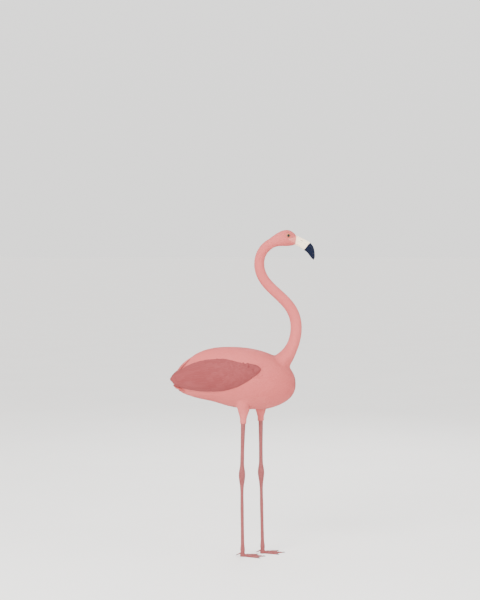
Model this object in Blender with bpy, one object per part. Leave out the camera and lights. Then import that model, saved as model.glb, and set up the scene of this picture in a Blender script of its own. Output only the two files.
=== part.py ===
"""A greater flamingo standing at rest on both legs, life-size, in metres.

The bird faces +X, its left side is +Y, and its feet stand on Z = 0. Every sub-part is a closed
solid of its own whose surface is the outside of the plumage, or of the bare skin or horn. Parts
that were one surface are parted by thin cuts, and parts that press against each other are cut
back from their neighbour by the same gap.
"""

import math

import bmesh
import bpy
from mathutils import Matrix, Vector

# Driving dimensions.
GAP = 0.0004  # between sub-parts that touch
REAR_X, FRONT_X = -0.280, 0.2205  # the rump's end and the breast's
RUMP_CUT_X = -0.125  # where the rump's plumage is parted from the trunk
CHEST_HALF_WIDTH = 0.108
NECK_ROOT = Vector((0.105, 0.0, 0.764))  # inside the breast
NECK_LENGTH = 0.650  # from the root to the back of the head
HEAD_LENGTH = 0.102
HEAD_PITCH = -8  # degrees above the horizon, where the bill begins
EYE_RADIUS = 0.0108
EYE_PLACE = Vector((0.1865, 0.0146, 1.3310))
BILL_LENGTH = 0.122  # along the gape, round the bend
THIGH_TOP, THIGH_END = 0.700, 0.570
ANKLE_HEIGHT = 0.338
TOE_JOINT_HEIGHT = 0.0215
MIDDLE_TOE = 0.086
CLAW_LENGTH, CLAW_RADIUS = 0.009, 0.0024

# The trunk: X, then the heights of back and belly and the half-width, all as fractions or metres.
TRUNK_OUTLINE = (
    (REAR_X, 0.745, 0.727, 0.000),
    (-0.262, 0.779, 0.689, 0.017),
    (-0.235, 0.810, 0.673, 0.031),
    (-0.190, 0.845, 0.658, 0.051),
    (-0.125, 0.867, 0.644, 0.074),
    (-0.044, 0.872, 0.621, 0.098),
    (0.030, 0.866, 0.612, CHEST_HALF_WIDTH),
    (0.092, 0.851, 0.612, 0.104),
    (0.154, 0.823, 0.630, 0.084),
    (0.200, 0.780, 0.661, 0.050),
    (FRONT_X, 0.722, 0.712, 0.000),
)
WIDEST_SHARE = 0.56  # the trunk is widest this share of the way from belly to back
# The folded wing: X, centre height, half-height, centre Y, half-thickness, and the degrees by
# which its upper edge leans in over the back.
WING_OUTLINE = (
    (0.082, 0.786, 0.0000, 0.0975, 0.0000, 17),
    (0.066, 0.783, 0.0140, 0.0965, 0.0110, 16),
    (0.036, 0.777, 0.0320, 0.0975, 0.0170, 13),
    (0.000, 0.770, 0.0480, 0.0950, 0.0200, 9),
    (-0.066, 0.764, 0.0670, 0.0850, 0.0220, 3),
    (-0.131, 0.757, 0.0690, 0.0665, 0.0220, -2),
    (-0.197, 0.750, 0.0595, 0.0450, 0.0180, -4),
    (-0.255, 0.742, 0.0380, 0.0290, 0.0130, -3),
    (-0.290, 0.738, 0.0170, 0.0200, 0.0070, 0),
    (-0.300, 0.737, 0.0000, 0.0170, 0.0000, 0),
)
WING_WRAP_RADIUS = 0.150  # the wing bends round the flank
# The tail: X, centre height, half-width, half-thickness.
TAIL_OUTLINE = (
    (-0.232, 0.690, 0.013, 0.0130),
    (-0.250, 0.691, 0.020, 0.0110),
    (-0.266, 0.697, 0.024, 0.0085),
    (-0.280, 0.7050, 0.023, 0.0055),
    (-0.291, 0.7130, 0.014, 0.0028),
)
# The neck's direction above the horizon, in degrees, along its length from the root.
NECK_BENDS = (
    (0.000, 31), (0.080, 48), (0.230, 90), (0.370, 136),
    (0.440, 134), (0.550, 88), (0.650, 28), (0.700, 4), (NECK_LENGTH + HEAD_LENGTH, HEAD_PITCH),
)  # fmt: skip
# Length along the neck, its radius and its half-width, which spreads into the shoulders.
NECK_RADII = (
    (0.000, 0.0440, 0.0660), (0.090, 0.0330, 0.0450), (0.160, 0.0258, 0.0300), (0.230, 0.0238, 0.0240),
    (0.300, 0.0230, 0.0230), (NECK_LENGTH, 0.0205, 0.0205),
)  # fmt: skip
NECK_CUTS = (0.245, 0.450)  # lengths along the neck where it is parted
# The head: length along the neck's line, then how far it reaches up, down and sideways.
HEAD_OUTLINE = (
    (NECK_LENGTH, 0.0210, 0.0205, 0.0205),
    (0.668, 0.0262, 0.0218, 0.0216),
    (0.685, 0.0332, 0.0232, 0.0230),
    (0.700, 0.0388, 0.0244, 0.0237),
    (0.715, 0.0412, 0.0248, 0.0234),
    (0.730, 0.0376, 0.0228, 0.0208),
    (0.742, 0.0290, 0.0198, 0.0178),
    (NECK_LENGTH + HEAD_LENGTH, 0.0212, 0.0176, 0.0152),
)
GAPE_RISE = -0.0015  # from the head's line up to the line where the bill opens
BILL_BENDS = ((0.000, HEAD_PITCH), (0.015, -16), (0.045, -22), (0.060, -43), (0.076, -68), (BILL_LENGTH, -86))
# Each half of the bill: length along the gape, height off it, half-width.
UPPER_BILL = (
    (0.000, 0.0224, 0.0150), (0.020, 0.0178, 0.0140), (0.045, 0.0134, 0.0130), (0.064, 0.0118, 0.0124),
    (0.080, 0.0108, 0.0110), (0.100, 0.0090, 0.0084), (0.114, 0.0064, 0.0056), (BILL_LENGTH, 0.0018, 0.0020),
)  # fmt: skip
LOWER_BILL = (
    (0.000, 0.0158, 0.0146), (0.020, 0.0190, 0.0142), (0.042, 0.0246, 0.0146), (0.058, 0.0266, 0.0144),
    (0.074, 0.0236, 0.0130), (0.090, 0.0176, 0.0106), (0.105, 0.0110, 0.0078), (0.1175, 0.0032, 0.0032),
)  # fmt: skip
BILL_EASING = 0.020  # the bill's cross-sections turn round the bend over this length each way
# Each leg: the places of its hip, ankle and foot, and how far the foot is turned outwards.
LEGS = {
    "right": {"hip": (0.006, 0.046), "ankle": (-0.003, 0.026), "foot": (0.000, 0.012), "turn": 2},
    "left": {"hip": (0.075, 0.048), "ankle": (0.077, 0.050), "foot": (0.084, 0.050), "turn": 7},
}
THIGH_RADII = (
    (THIGH_TOP, 0.034), (0.640, 0.030), (0.612, 0.0245), (0.590, 0.0178), (THIGH_END, 0.0125),
)  # fmt: skip
# The bare leg: height, then its half-depth fore and aft and its half-width.
LEG_SECTIONS = (
    (THIGH_END, 0.0102, 0.0092), (0.500, 0.0088, 0.0078), (0.420, 0.0080, 0.0070), (0.374, 0.0092, 0.0085),
    (0.354, 0.0124, 0.0109), (ANKLE_HEIGHT, 0.0132, 0.0114), (0.322, 0.0116, 0.0102), (0.300, 0.0086, 0.0074),
    (0.200, 0.0074, 0.0060), (0.080, 0.0074, 0.0061), (0.045, 0.0082, 0.0074), (0.031, 0.0097, 0.0091),
    (TOE_JOINT_HEIGHT, 0.0091, 0.0089),
)  # fmt: skip
# The front toes: degrees from the middle one towards the bird's outer side, and length.
TOES = {"inner": (-31, 0.066), "middle": (0, MIDDLE_TOE), "outer": (28, 0.076)}
TOE_HALF_WIDTHS = (0.0052, 0.0029)  # at the joint and at the tip
TOE_HEIGHTS = (0.0125, 0.0044)
HEEL_RADIUS, HEEL_HEIGHT = 0.0112, 0.0208
WEB_THICKNESS = 0.0016
WEB_HOLLOW = 0.16  # how far the web's edge falls back between two toes, as a share of their length
HIND_TOE = {"height": 0.0155, "length": 0.019, "radius": 0.0038, "drop": 0.0085}

COLOURS = {  # linear colour and roughness
    "plumage": ((0.70, 0.33, 0.30), 0.85),
    "coverts": ((0.54, 0.20, 0.19), 0.80),
    "leg_skin": ((0.52, 0.21, 0.20), 0.55),
    "pale_horn": ((0.93, 0.80, 0.68), 0.40),
    "dark_horn": ((0.015, 0.025, 0.07), 0.35),
    "eye": ((0.06, 0.045, 0.01), 0.05),
}


def clear_scene():
    for obj in list(bpy.data.objects):
        bpy.data.objects.remove(obj)


def material(name):
    found = bpy.data.materials.get(name)
    if found:
        return found
    made = bpy.data.materials.new(name)
    made.use_nodes = True
    colour, roughness = COLOURS[name]
    shader = made.node_tree.nodes["Principled BSDF"]
    shader.inputs["Base Color"].default_value = (*colour, 1.0)
    shader.inputs["Roughness"].default_value = roughness
    shader.inputs["Metallic"].default_value = 0.0
    return made


def curve_through(rows):
    """A smooth function of the first column that passes through the other columns of every row."""
    rows = sorted(rows)
    places = [row[0] for row in rows]
    steps = [b - a for a, b in zip(places, places[1:])]
    rises = [
        [(q - p) / step for p, q in zip(low[1:], high[1:])]
        for low, high, step in zip(rows, rows[1:], steps)
    ]
    slopes = [rises[0]]
    for i in range(1, len(rows) - 1):
        before, after = steps[i - 1], steps[i]
        slopes.append(
            [(p * after + q * before) / (before + after) for p, q in zip(rises[i - 1], rises[i])]
        )
    slopes.append(rises[-1])

    def value(place):
        i = max(0, min(len(steps) - 1, sum(place >= p for p in places) - 1))
        step = steps[i]
        u = min(1.0, max(0.0, (place - places[i]) / step))
        low, high = rows[i][1:], rows[i + 1][1:]
        return [
            (2 * u**3 - 3 * u**2 + 1) * a
            + (u**3 - 2 * u**2 + u) * step * m
            + (3 * u**2 - 2 * u**3) * b
            + (u**3 - u**2) * step * n
            for a, b, m, n in zip(low, high, slopes[i], slopes[i + 1])
        ]

    return value


def bent_line(start, bends, step=0.0005):
    """A line in the XZ plane that follows its direction in degrees: gives (point, direction) by length."""
    direction = curve_through(bends)
    end = bends[-1][0]
    points = [start.copy()]
    count = math.ceil(end / step)
    for i in range(count):
        angle = math.radians(direction((i + 0.5) * end / count)[0])
        points.append(points[-1] + Vector((math.cos(angle), 0.0, math.sin(angle))) * (end / count))

    def at(length):
        share = max(0.0, min(1.0, length / end)) * count
        i = min(count - 1, int(share))
        angle = math.radians(direction(length)[0])
        return points[i].lerp(points[i + 1], share - i), Vector((math.cos(angle), 0.0, math.sin(angle)))

    return at


def spaced(low, high, count):
    return [low + (high - low) * i / (count - 1) for i in range(count)]


def round_ended(low, high, count, low_round=True, high_round=True):
    """Places from low to high that crowd together at each end that is round."""
    first = 0.0 if low_round else math.pi / 2
    last = math.pi if high_round else math.pi / 2
    span = (math.cos(first), math.cos(last))
    if not (low_round or high_round):
        return spaced(low, high, count)
    return [
        low + (high - low) * (span[0] - math.cos(angle)) / (span[0] - span[1])
        for angle in spaced(first, last, count)
    ]


def oval(centre, side, up, half_width, rise, fall, count, narrowing=0.0):
    """A ring round a centre, with its own reach up and down; narrowing slims it below."""
    ring = []
    for i in range(count):
        angle = 2 * math.pi * i / count
        height = math.sin(angle)
        reach = half_width * math.cos(angle) * (1 + narrowing * height)
        ring.append(centre + side * reach + up * (rise if height > 0 else fall) * height)
    return ring


def dome(centre, side, up, half_width, height, count):
    """A ring that is flat along its base and half an oval above it, or below where height is negative."""
    arc = [math.pi * i / (count - 1) for i in range(count)]
    return [centre + side * half_width * math.cos(a) + up * height * math.sin(a) for a in arc]


def solid_from_rings(name, rings, finish, sharp_degrees=40):
    """A closed solid through rings of points. A ring of one point closes an end to a tip."""
    bm = bmesh.new()
    layers = [[bm.verts.new(point) for point in ring] for ring in rings]
    for low, high in zip(layers, layers[1:]):
        count = max(len(low), len(high))
        for i in range(count):
            j = (i + 1) % count
            corners = []
            for corner in (low[i % len(low)], low[j % len(low)], high[j % len(high)], high[i % len(high)]):
                if corner not in corners:
                    corners.append(corner)
            bm.faces.new(corners)
    for end in (layers[0], layers[-1]):
        if len(end) > 1:
            bm.faces.new(end)
    return finished(name, bm, finish, sharp_degrees)


def finished(name, bm, finish, sharp_degrees=40):
    bmesh.ops.recalc_face_normals(bm, faces=bm.faces[:])
    mesh = bpy.data.meshes.new(name)
    bm.to_mesh(mesh)
    bm.free()
    mesh.shade_smooth()
    mesh.set_sharp_from_angle(angle=math.radians(sharp_degrees))
    obj = bpy.data.objects.new(name, mesh)
    bpy.context.scene.collection.objects.link(obj)
    mesh.materials.append(material(finish))
    return obj


def cutter(obj):
    obj.hide_render = True
    obj.display_type = "WIRE"
    return obj


def cut_back(obj, *cutters):
    for tool in cutters:
        modifier = obj.modifiers.new("clear of " + tool.name, "BOOLEAN")
        modifier.operation = "DIFFERENCE"
        modifier.solver = "EXACT"
        modifier.object = tool


# --- Trunk and rump -------------------------------------------------------------------------

TRUNK_MIDDLE = (REAR_X + FRONT_X) / 2
TRUNK_HALF = (FRONT_X - REAR_X) / 2
FORWARDS, SIDEWAYS, UPWARDS = Vector((1, 0, 0)), Vector((0, 1, 0)), Vector((0, 0, 1))


def trunk_angle(x):
    """The angle that makes the trunk's ends round: 0 at the rump's end and pi at the breast's."""
    return math.acos(max(-1.0, min(1.0, (TRUNK_MIDDLE - x) / TRUNK_HALF)))


trunk_profile = curve_through([(trunk_angle(row[0]), *row[1:]) for row in TRUNK_OUTLINE])


def trunk_ring(x, grow=0.0, count=26):
    back, belly, half_width = trunk_profile(trunk_angle(x))
    widest = belly + WIDEST_SHARE * (back - belly)
    centre = Vector((TRUNK_MIDDLE + (x - TRUNK_MIDDLE) * (1 + grow / TRUNK_HALF), 0, widest))
    if half_width < 0.001:
        return [centre]
    rise, fall = back - widest + grow, widest - belly + grow
    return oval(centre, SIDEWAYS, UPWARDS, half_width + grow, rise, fall, count, narrowing=0.06)


def make_trunk():
    whole = round_ended(REAR_X, FRONT_X, 25)
    body = cutter(solid_from_rings("body_cutter", [trunk_ring(x, GAP) for x in whole], "plumage"))
    cut = RUMP_CUT_X + GAP / 2
    front = [cut] + [x for x in whole if x > cut + 0.01]
    rear = [x for x in whole if x < cut - 0.01] + [cut - GAP]
    solid_from_rings("trunk", [trunk_ring(x) for x in front], "plumage")
    solid_from_rings("rump", [trunk_ring(x) for x in rear], "plumage")
    return body


# --- Neck and head --------------------------------------------------------------------------

neck_line = bent_line(NECK_ROOT, NECK_BENDS)
neck_radius = curve_through(NECK_RADII)
head_reach = curve_through(HEAD_OUTLINE)


def neck_ring(length, count=16):
    centre, forward = neck_line(length)
    upward = SIDEWAYS.cross(forward) * -1
    radius, half_width = neck_radius(length)
    return oval(centre, SIDEWAYS, upward, half_width, radius, radius, count)


def head_ring(length, count=22):
    centre, forward = neck_line(length)
    upward = SIDEWAYS.cross(forward) * -1
    rise, fall, half_width = head_reach(length)
    return oval(centre, SIDEWAYS, upward, half_width, rise, fall, count)


def make_neck(body):
    edges = (0.03, *NECK_CUTS, NECK_LENGTH)
    counts = (12, 13, 13)
    for name, low, high, count in zip(("lower", "middle", "upper"), edges, edges[1:], counts):
        places = spaced(low + GAP / 2, high - GAP / 2, count)
        piece = solid_from_rings(f"neck_{name}", [neck_ring(s) for s in places], "plumage")
        if name == "lower":
            cut_back(piece, body)


def eyeball(name, side, grow=0.0):
    bm = bmesh.new()
    bmesh.ops.create_uvsphere(bm, u_segments=14, v_segments=9, radius=EYE_RADIUS + grow)
    turn = Matrix.Rotation(math.radians(90), 4, "X")
    place = Vector((EYE_PLACE.x, EYE_PLACE.y * side, EYE_PLACE.z))
    bmesh.ops.transform(bm, matrix=Matrix.Translation(place) @ turn, verts=bm.verts[:])
    return finished(name, bm, "eye")


def make_head():
    places = spaced(NECK_LENGTH + GAP / 2, NECK_LENGTH + HEAD_LENGTH, 14)
    head = solid_from_rings("head", [head_ring(s) for s in places], "plumage")
    for name, side in (("left", 1), ("right", -1)):
        eyeball(f"eye_{name}", side)
        cut_back(head, cutter(eyeball(f"socket_{name}", side, GAP)))


# --- Bill -----------------------------------------------------------------------------------


def make_bill():
    base, forward = neck_line(NECK_LENGTH + HEAD_LENGTH)
    upward = SIDEWAYS.cross(forward) * -1
    line = bent_line(base + upward * GAPE_RISE + forward * GAP, BILL_BENDS)
    for name, rows, side in (("upper_bill", UPPER_BILL, 1), ("lower_bill", LOWER_BILL, -1)):
        reach = curve_through(rows)
        rings = []
        for place in spaced(0.0, rows[-1][0], 15):
            centre = line(place)[0]
            easing = min(place, BILL_EASING)
            forward = line(place - easing)[1] + line(place + easing)[1]
            upward = SIDEWAYS.cross(forward.normalized()) * -side
            height, half_width = reach(place)
            rings.append(dome(centre + upward * GAP / 2, SIDEWAYS, upward, half_width, height, 11))
        solid_from_rings(name, rings, "pale_horn", sharp_degrees=50)


# --- Wings and tail -------------------------------------------------------------------------

wing_section = curve_through(WING_OUTLINE)


def wing_ring(x, side, count=20):
    height, half_height, y, half_thickness, lean_degrees = wing_section(x)
    centre = Vector((x, y * side, height))
    if half_height < 0.001:
        return [centre]
    lean = Matrix.Rotation(math.radians(lean_degrees) * side, 3, "X")
    ring = oval(Vector((0, 0, 0)), SIDEWAYS, UPWARDS, half_thickness, half_height, half_height, count)
    return [centre + lean @ (p - SIDEWAYS * side * p.z**2 / (2 * WING_WRAP_RADIUS)) for p in ring]


def make_wings(body):
    front, rear = WING_OUTLINE[0][0], WING_OUTLINE[-1][0]
    for name, side in (("left", 1), ("right", -1)):
        places = round_ended(rear, front, 20)
        wing = solid_from_rings(f"wing_{name}", [wing_ring(x, side) for x in places], "coverts")
        cut_back(wing, body)


def make_tail(body):
    section = curve_through(TAIL_OUTLINE)
    rings = []
    for x in spaced(TAIL_OUTLINE[0][0], TAIL_OUTLINE[-1][0], 11):
        height, half_width, half_thickness = section(x)
        centre = Vector((x, 0, height))
        rings.append(oval(centre, SIDEWAYS, UPWARDS, half_width, half_thickness, half_thickness, 18))
    tail = solid_from_rings("tail", rings, "plumage")
    cut_back(tail, body)


# --- Legs -----------------------------------------------------------------------------------


def leg_line(leg, side):
    """The leg's centre by height, from the hip through the ankle to the foot."""
    rows = [(0.0, leg["foot"]), (ANKLE_HEIGHT, leg["ankle"]), (THIGH_TOP, leg["hip"])]
    through = curve_through([(height, x, y * side) for height, (x, y) in rows])

    def at(height):
        x, y = through(height)
        return Vector((x, y, height))

    return at


def make_thigh(name, line, body):
    radius = curve_through(THIGH_RADII)
    rings = []
    for height in spaced(THIGH_END, THIGH_TOP, 10):
        r = radius(height)[0]
        rings.append(oval(line(height), FORWARDS, SIDEWAYS, r, r * 0.9, r * 0.9, 16))
    cut_back(solid_from_rings(f"thigh_{name}", rings, "plumage"), body)


def make_shank(name, line):
    """The bare leg, parted at the ankle."""
    section = curve_through(LEG_SECTIONS)
    for part, low, high in (("tarsus", TOE_JOINT_HEIGHT, ANKLE_HEIGHT), ("shin", ANKLE_HEIGHT, THIGH_END)):
        heights = [row[0] for row in LEG_SECTIONS if low < row[0] < high]
        heights = sorted([low + GAP / 2, *heights, high - GAP])
        middles = [(a + b) / 2 for a, b in zip(heights, heights[1:]) if b - a > 0.012]
        rings = []
        for height in sorted(heights + middles):
            depth, width = section(height)
            rings.append(oval(line(height), FORWARDS, SIDEWAYS, depth, width, width, 12))
        solid_from_rings(f"{part}_{name}", rings, "leg_skin")


def toe_width(share):
    return TOE_HALF_WIDTHS[0] + (TOE_HALF_WIDTHS[1] - TOE_HALF_WIDTHS[0]) * min(1.0, share)


def toe_height(share):
    """The toe's back falls towards its tip and swells at two joints on the way."""
    fall = TOE_HEIGHTS[0] + (TOE_HEIGHTS[1] - TOE_HEIGHTS[0]) * share**0.6
    swell = sum(math.exp(-(((share - joint) / 0.07) ** 2)) for joint in (0.36, 0.68))
    return fall * (1 + 0.14 * swell)


def foot_reach(angle):
    """How far the foot's edge is from the toe joint, in a direction in degrees."""
    reach = HEEL_RADIUS
    for toe_angle, length in TOES.values():
        off = math.radians(angle - toe_angle)
        if math.cos(off) > 0:
            side = toe_width(1.0) if abs(off) < 0.06 else toe_width(0.5)
            along = length * math.cos(off)
            across = side / max(1e-6, abs(math.sin(off)))
            rounded = (along**-8 + across**-8) ** (-1 / 8)
            reach = max(reach, rounded)
    order = sorted(TOES.values())
    for (low, near), (high, far) in zip(order, order[1:]):
        share = (angle - low) / (high - low)
        if 0 <= share <= 1:
            edge = (near + (far - near) * share) * (1 - WEB_HOLLOW * math.sin(math.pi * share) ** 0.7)
            reach = max(reach, edge)
    return reach


def foot_height(x, y):
    """The foot's upper surface over a point of the floor, measured from the toe joint."""
    height = WEB_THICKNESS
    for toe_angle, length in TOES.values():
        angle = math.radians(toe_angle)
        along = x * math.cos(angle) + y * math.sin(angle)
        across = y * math.cos(angle) - x * math.sin(angle)
        share = along / length
        if 0 <= share <= 1.02:
            off = 1 - (across / toe_width(share)) ** 2
            tip = 1 - 0.45 * max(0.0, (share - 0.9) / 0.1) ** 2
            height = max(height, toe_height(min(1.0, share)) * tip * math.sqrt(max(0.0, off)))
    off = 1 - (x * x + y * y) / HEEL_RADIUS**2
    return max(height, HEEL_HEIGHT * math.sqrt(max(0.0, off)))


def make_foot(name, side, place):
    toe_offsets = (-9, -5, -2.2, -1.2, 0, 1.2, 2.2, 5, 9)
    angles = {toe + off for toe, _ in TOES.values() for off in toe_offsets}
    angles |= {TOES["outer"][0] + off for off in (16, 30, 55, 95)}
    angles |= {TOES["inner"][0] - off for off in (16, 30, 55, 95)}
    angles |= {-165, 165}
    bm = bmesh.new()
    centre = bm.verts.new((0, 0, HEEL_HEIGHT))
    shares = (0.10, 0.22, 0.36, 0.52, 0.68, 0.84, 0.95, 1.0)
    columns = []
    for angle in sorted(angles):
        reach = foot_reach(angle)
        c, s = math.cos(math.radians(angle)), math.sin(math.radians(angle))
        points = [(reach * share * c, reach * share * s) for share in shares]
        column = [bm.verts.new((x, y * side, foot_height(x, y))) for x, y in points]
        x, y = points[-1]
        columns.append([*column, bm.verts.new((x, y * side, 0.0))])
    for column, after in zip(columns, columns[1:] + columns[:1]):
        bm.faces.new((centre, column[0], after[0]))
        for i in range(len(column) - 1):
            bm.faces.new((column[i], column[i + 1], after[i + 1], after[i]))
    bm.faces.new([column[-1] for column in columns])
    bmesh.ops.transform(bm, matrix=place, verts=bm.verts[:])
    return finished(f"foot_{name}", bm, "leg_skin")


def make_claw(name, root, heading, radius, length, drop):
    """A short blunt claw that curves down from the end of its toe."""
    side = heading.cross(UPWARDS).normalized()
    rings = []
    for share in (0.0, 0.4, 0.75, 1.0):
        centre = root + heading * length * share - UPWARDS * drop * share**2
        thick = radius * (1 - 0.72 * share**1.6)
        rings.append(oval(centre, side, UPWARDS, thick * 1.05, thick * 0.8, thick * 0.8, 6))
    return solid_from_rings(name, rings, "dark_horn")


def make_toes(name, side, place, shank):
    for toe, (angle, length) in TOES.items():
        turn = math.radians(angle * side)
        heading = place.to_3x3() @ Vector((math.cos(turn), math.sin(turn), 0))
        tip = place.translation + heading * (length + 2 * GAP) + UPWARDS * CLAW_RADIUS
        make_claw(f"claw_{toe}_{name}", tip, heading, CLAW_RADIUS, CLAW_LENGTH, 0.0008)
    heading = place.to_3x3() @ Vector((-1, 0, 0))
    root = place.translation + UPWARDS * HIND_TOE["height"] + heading * HIND_TOE["radius"]
    rings = []
    for share in spaced(0.0, 1.0, 6):
        centre = root + heading * HIND_TOE["length"] * share - UPWARDS * HIND_TOE["drop"] * share**1.5
        r = HIND_TOE["radius"] * (1 - 0.35 * share)
        rings.append(oval(centre, SIDEWAYS, UPWARDS, r, r, r, 8))
    cut_back(solid_from_rings(f"toe_hind_{name}", rings, "leg_skin"), shank)
    tip = root + heading * (HIND_TOE["length"] + GAP) - UPWARDS * (HIND_TOE["drop"] + 0.0002)
    make_claw(f"claw_hind_{name}", tip, heading, CLAW_RADIUS * 0.88, CLAW_LENGTH * 0.78, 0.0018)


def make_leg(name, side, body):
    leg = LEGS[name]
    line = leg_line(leg, side)
    make_thigh(name, line, body)
    make_shank(name, line)
    x, y = leg["foot"]
    turn = Matrix.Rotation(math.radians(leg["turn"] * side), 4, "Z")
    place = Matrix.Translation((x, y * side, 0)) @ turn
    make_foot(name, side, place)
    section = curve_through(LEG_SECTIONS)
    column = []  # the shank and heel, grown by the gap, which the hind toe is cut back from
    for height in (-GAP, TOE_JOINT_HEIGHT, 0.028, 0.031, 0.045):
        depth, width = [size + GAP for size in section(max(height, TOE_JOINT_HEIGHT))]
        if height < TOE_JOINT_HEIGHT:
            depth = width = HEEL_RADIUS + GAP
        centre = line(max(height, 0))
        centre.z = height
        column.append(oval(centre, FORWARDS, SIDEWAYS, depth, width, width, 24))
    make_toes(name, side, place, cutter(solid_from_rings(f"shank_cutter_{name}", column, "leg_skin")))


def make_flamingo():
    clear_scene()
    body = make_trunk()
    make_neck(body)
    make_head()
    make_bill()
    make_wings(body)
    make_tail(body)
    for name, side in (("right", -1), ("left", 1)):
        make_leg(name, side, body)


make_flamingo()
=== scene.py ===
"""A greater flamingo's skin, plumage, bill, eyes, scales and claws, laid round the fixed frame.

The bird faces +X, its left side is +Y, and it stands on Z = 0. Sizes are in metres.
"""

import math
from functools import partialmethod

import bmesh
import bpy
import numpy as np
from mathutils import Matrix, Vector
from mathutils.bvhtree import BVHTree


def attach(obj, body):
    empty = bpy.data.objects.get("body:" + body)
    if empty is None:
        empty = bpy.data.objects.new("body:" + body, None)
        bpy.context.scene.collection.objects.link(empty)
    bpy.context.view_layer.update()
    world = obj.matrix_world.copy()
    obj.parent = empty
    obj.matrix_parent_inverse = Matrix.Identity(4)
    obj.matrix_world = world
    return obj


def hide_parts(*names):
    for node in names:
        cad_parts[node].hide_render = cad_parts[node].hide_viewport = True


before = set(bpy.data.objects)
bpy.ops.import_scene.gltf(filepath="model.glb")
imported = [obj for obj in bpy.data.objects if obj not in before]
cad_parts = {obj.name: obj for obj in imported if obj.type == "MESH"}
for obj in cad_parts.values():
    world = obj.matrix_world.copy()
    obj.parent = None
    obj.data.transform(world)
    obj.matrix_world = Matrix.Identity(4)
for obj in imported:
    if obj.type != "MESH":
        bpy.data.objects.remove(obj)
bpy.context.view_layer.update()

bl_info = {
    "name": "Greater flamingo",
    "version": (1, 0, 0),
    "blender": (4, 5, 0),
    "location": "3D View > Sidebar > Flamingo",
    "description": "Dresses a greater flamingo's solids in skin, feathers, scales and horn",
    "category": "Object",
}

BODY = "root"
SIDES = (("left", 1), ("right", -1))
X_AXIS, Y_AXIS, Z_AXIS = Vector((1, 0, 0)), Vector((0, 1, 0)), Vector((0, 0, 1))
ACROSS = np.array((0.0, 1.0, 0.0))

# --- The bird's form, as in the solids ------------------------------------------------------

REAR_X, FRONT_X = -0.280, 0.2205
NECK_ROOT = Vector((0.105, 0.0, 0.764))
NECK_LENGTH, HEAD_LENGTH, HEAD_PITCH = 0.650, 0.102, -8
HEAD_END = NECK_LENGTH + HEAD_LENGTH
EYE_RADIUS = 0.0108
EYE_PLACE = Vector((0.1865, 0.0146, 1.3310))
BILL_LENGTH = 0.122
THIGH_TOP, THIGH_END = 0.700, 0.570
ANKLE_HEIGHT, TOE_JOINT_HEIGHT = 0.338, 0.0215

TRUNK_OUTLINE = (  # X, the heights of back and belly, half-width
    (REAR_X, 0.745, 0.727, 0.000), (-0.262, 0.779, 0.689, 0.017), (-0.235, 0.810, 0.673, 0.031),
    (-0.190, 0.845, 0.658, 0.051), (-0.125, 0.867, 0.644, 0.074), (-0.044, 0.872, 0.621, 0.098),
    (0.030, 0.866, 0.612, 0.108), (0.092, 0.851, 0.612, 0.104), (0.154, 0.823, 0.630, 0.084),
    (0.200, 0.780, 0.661, 0.050),
    (FRONT_X, 0.722, 0.712, 0.000),
)  # fmt: skip
WIDEST_SHARE = 0.56
WING_OUTLINE = (  # X, centre height, half-height, centre Y, half-thickness, lean in degrees
    (0.082, 0.786, 0.0000, 0.0975, 0.0000, 17), (0.066, 0.783, 0.0140, 0.0965, 0.0110, 16),
    (0.036, 0.777, 0.0320, 0.0975, 0.0170, 13), (0.000, 0.770, 0.0480, 0.0950, 0.0200, 9),
    (-0.066, 0.764, 0.0670, 0.0850, 0.0220, 3), (-0.131, 0.757, 0.0690, 0.0665, 0.0220, -2),
    (-0.197, 0.750, 0.0595, 0.0450, 0.0180, -4), (-0.255, 0.742, 0.0380, 0.0290, 0.0130, -3),
    (-0.290, 0.738, 0.0170, 0.0200, 0.0070, 0), (-0.300, 0.737, 0.0000, 0.0170, 0.0000, 0),
)  # fmt: skip
WING_FRONT, WING_TIP = WING_OUTLINE[0][0], WING_OUTLINE[-1][0]
WING_WRAP_RADIUS = 0.150
NECK_BENDS = (
    (0.000, 31), (0.080, 48), (0.230, 90), (0.370, 136), (0.440, 134), (0.550, 88),
    (0.650, 28), (0.700, 4), (HEAD_END, HEAD_PITCH),
)  # fmt: skip
NECK_RADII = (  # length, radius and half-width, which spreads into the shoulders
    (0.000, 0.0440, 0.0660), (0.090, 0.0330, 0.0450), (0.160, 0.0258, 0.0300), (0.230, 0.0238, 0.0240),
    (0.300, 0.0230, 0.0230), (NECK_LENGTH, 0.0205, 0.0205),
)  # fmt: skip
HEAD_OUTLINE = (  # length, reach up, down and sideways
    (NECK_LENGTH, 0.0210, 0.0205, 0.0205), (0.668, 0.0262, 0.0218, 0.0216),
    (0.685, 0.0332, 0.0232, 0.0230), (0.700, 0.0388, 0.0244, 0.0237),
    (0.715, 0.0412, 0.0248, 0.0234), (0.730, 0.0376, 0.0228, 0.0208),
    (0.742, 0.0290, 0.0198, 0.0178), (HEAD_END, 0.0212, 0.0176, 0.0152),
)  # fmt: skip
GAPE_RISE = -0.0015
BILL_BENDS = ((0.000, HEAD_PITCH), (0.015, -16), (0.045, -22), (0.060, -43), (0.076, -68), (BILL_LENGTH, -86))
UPPER_BILL = (
    (0.000, 0.0224, 0.0150), (0.020, 0.0178, 0.0140), (0.045, 0.0134, 0.0130), (0.064, 0.0118, 0.0124),
    (0.080, 0.0108, 0.0110), (0.100, 0.0090, 0.0084), (0.114, 0.0064, 0.0056), (BILL_LENGTH, 0.0018, 0.0020),
)  # fmt: skip
LOWER_BILL = (
    (0.000, 0.0158, 0.0146), (0.020, 0.0190, 0.0142), (0.042, 0.0246, 0.0146), (0.058, 0.0266, 0.0144),
    (0.074, 0.0236, 0.0130), (0.090, 0.0176, 0.0106), (0.105, 0.0110, 0.0078), (0.1175, 0.0032, 0.0032),
)  # fmt: skip
BILL_EASING = 0.020
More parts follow.
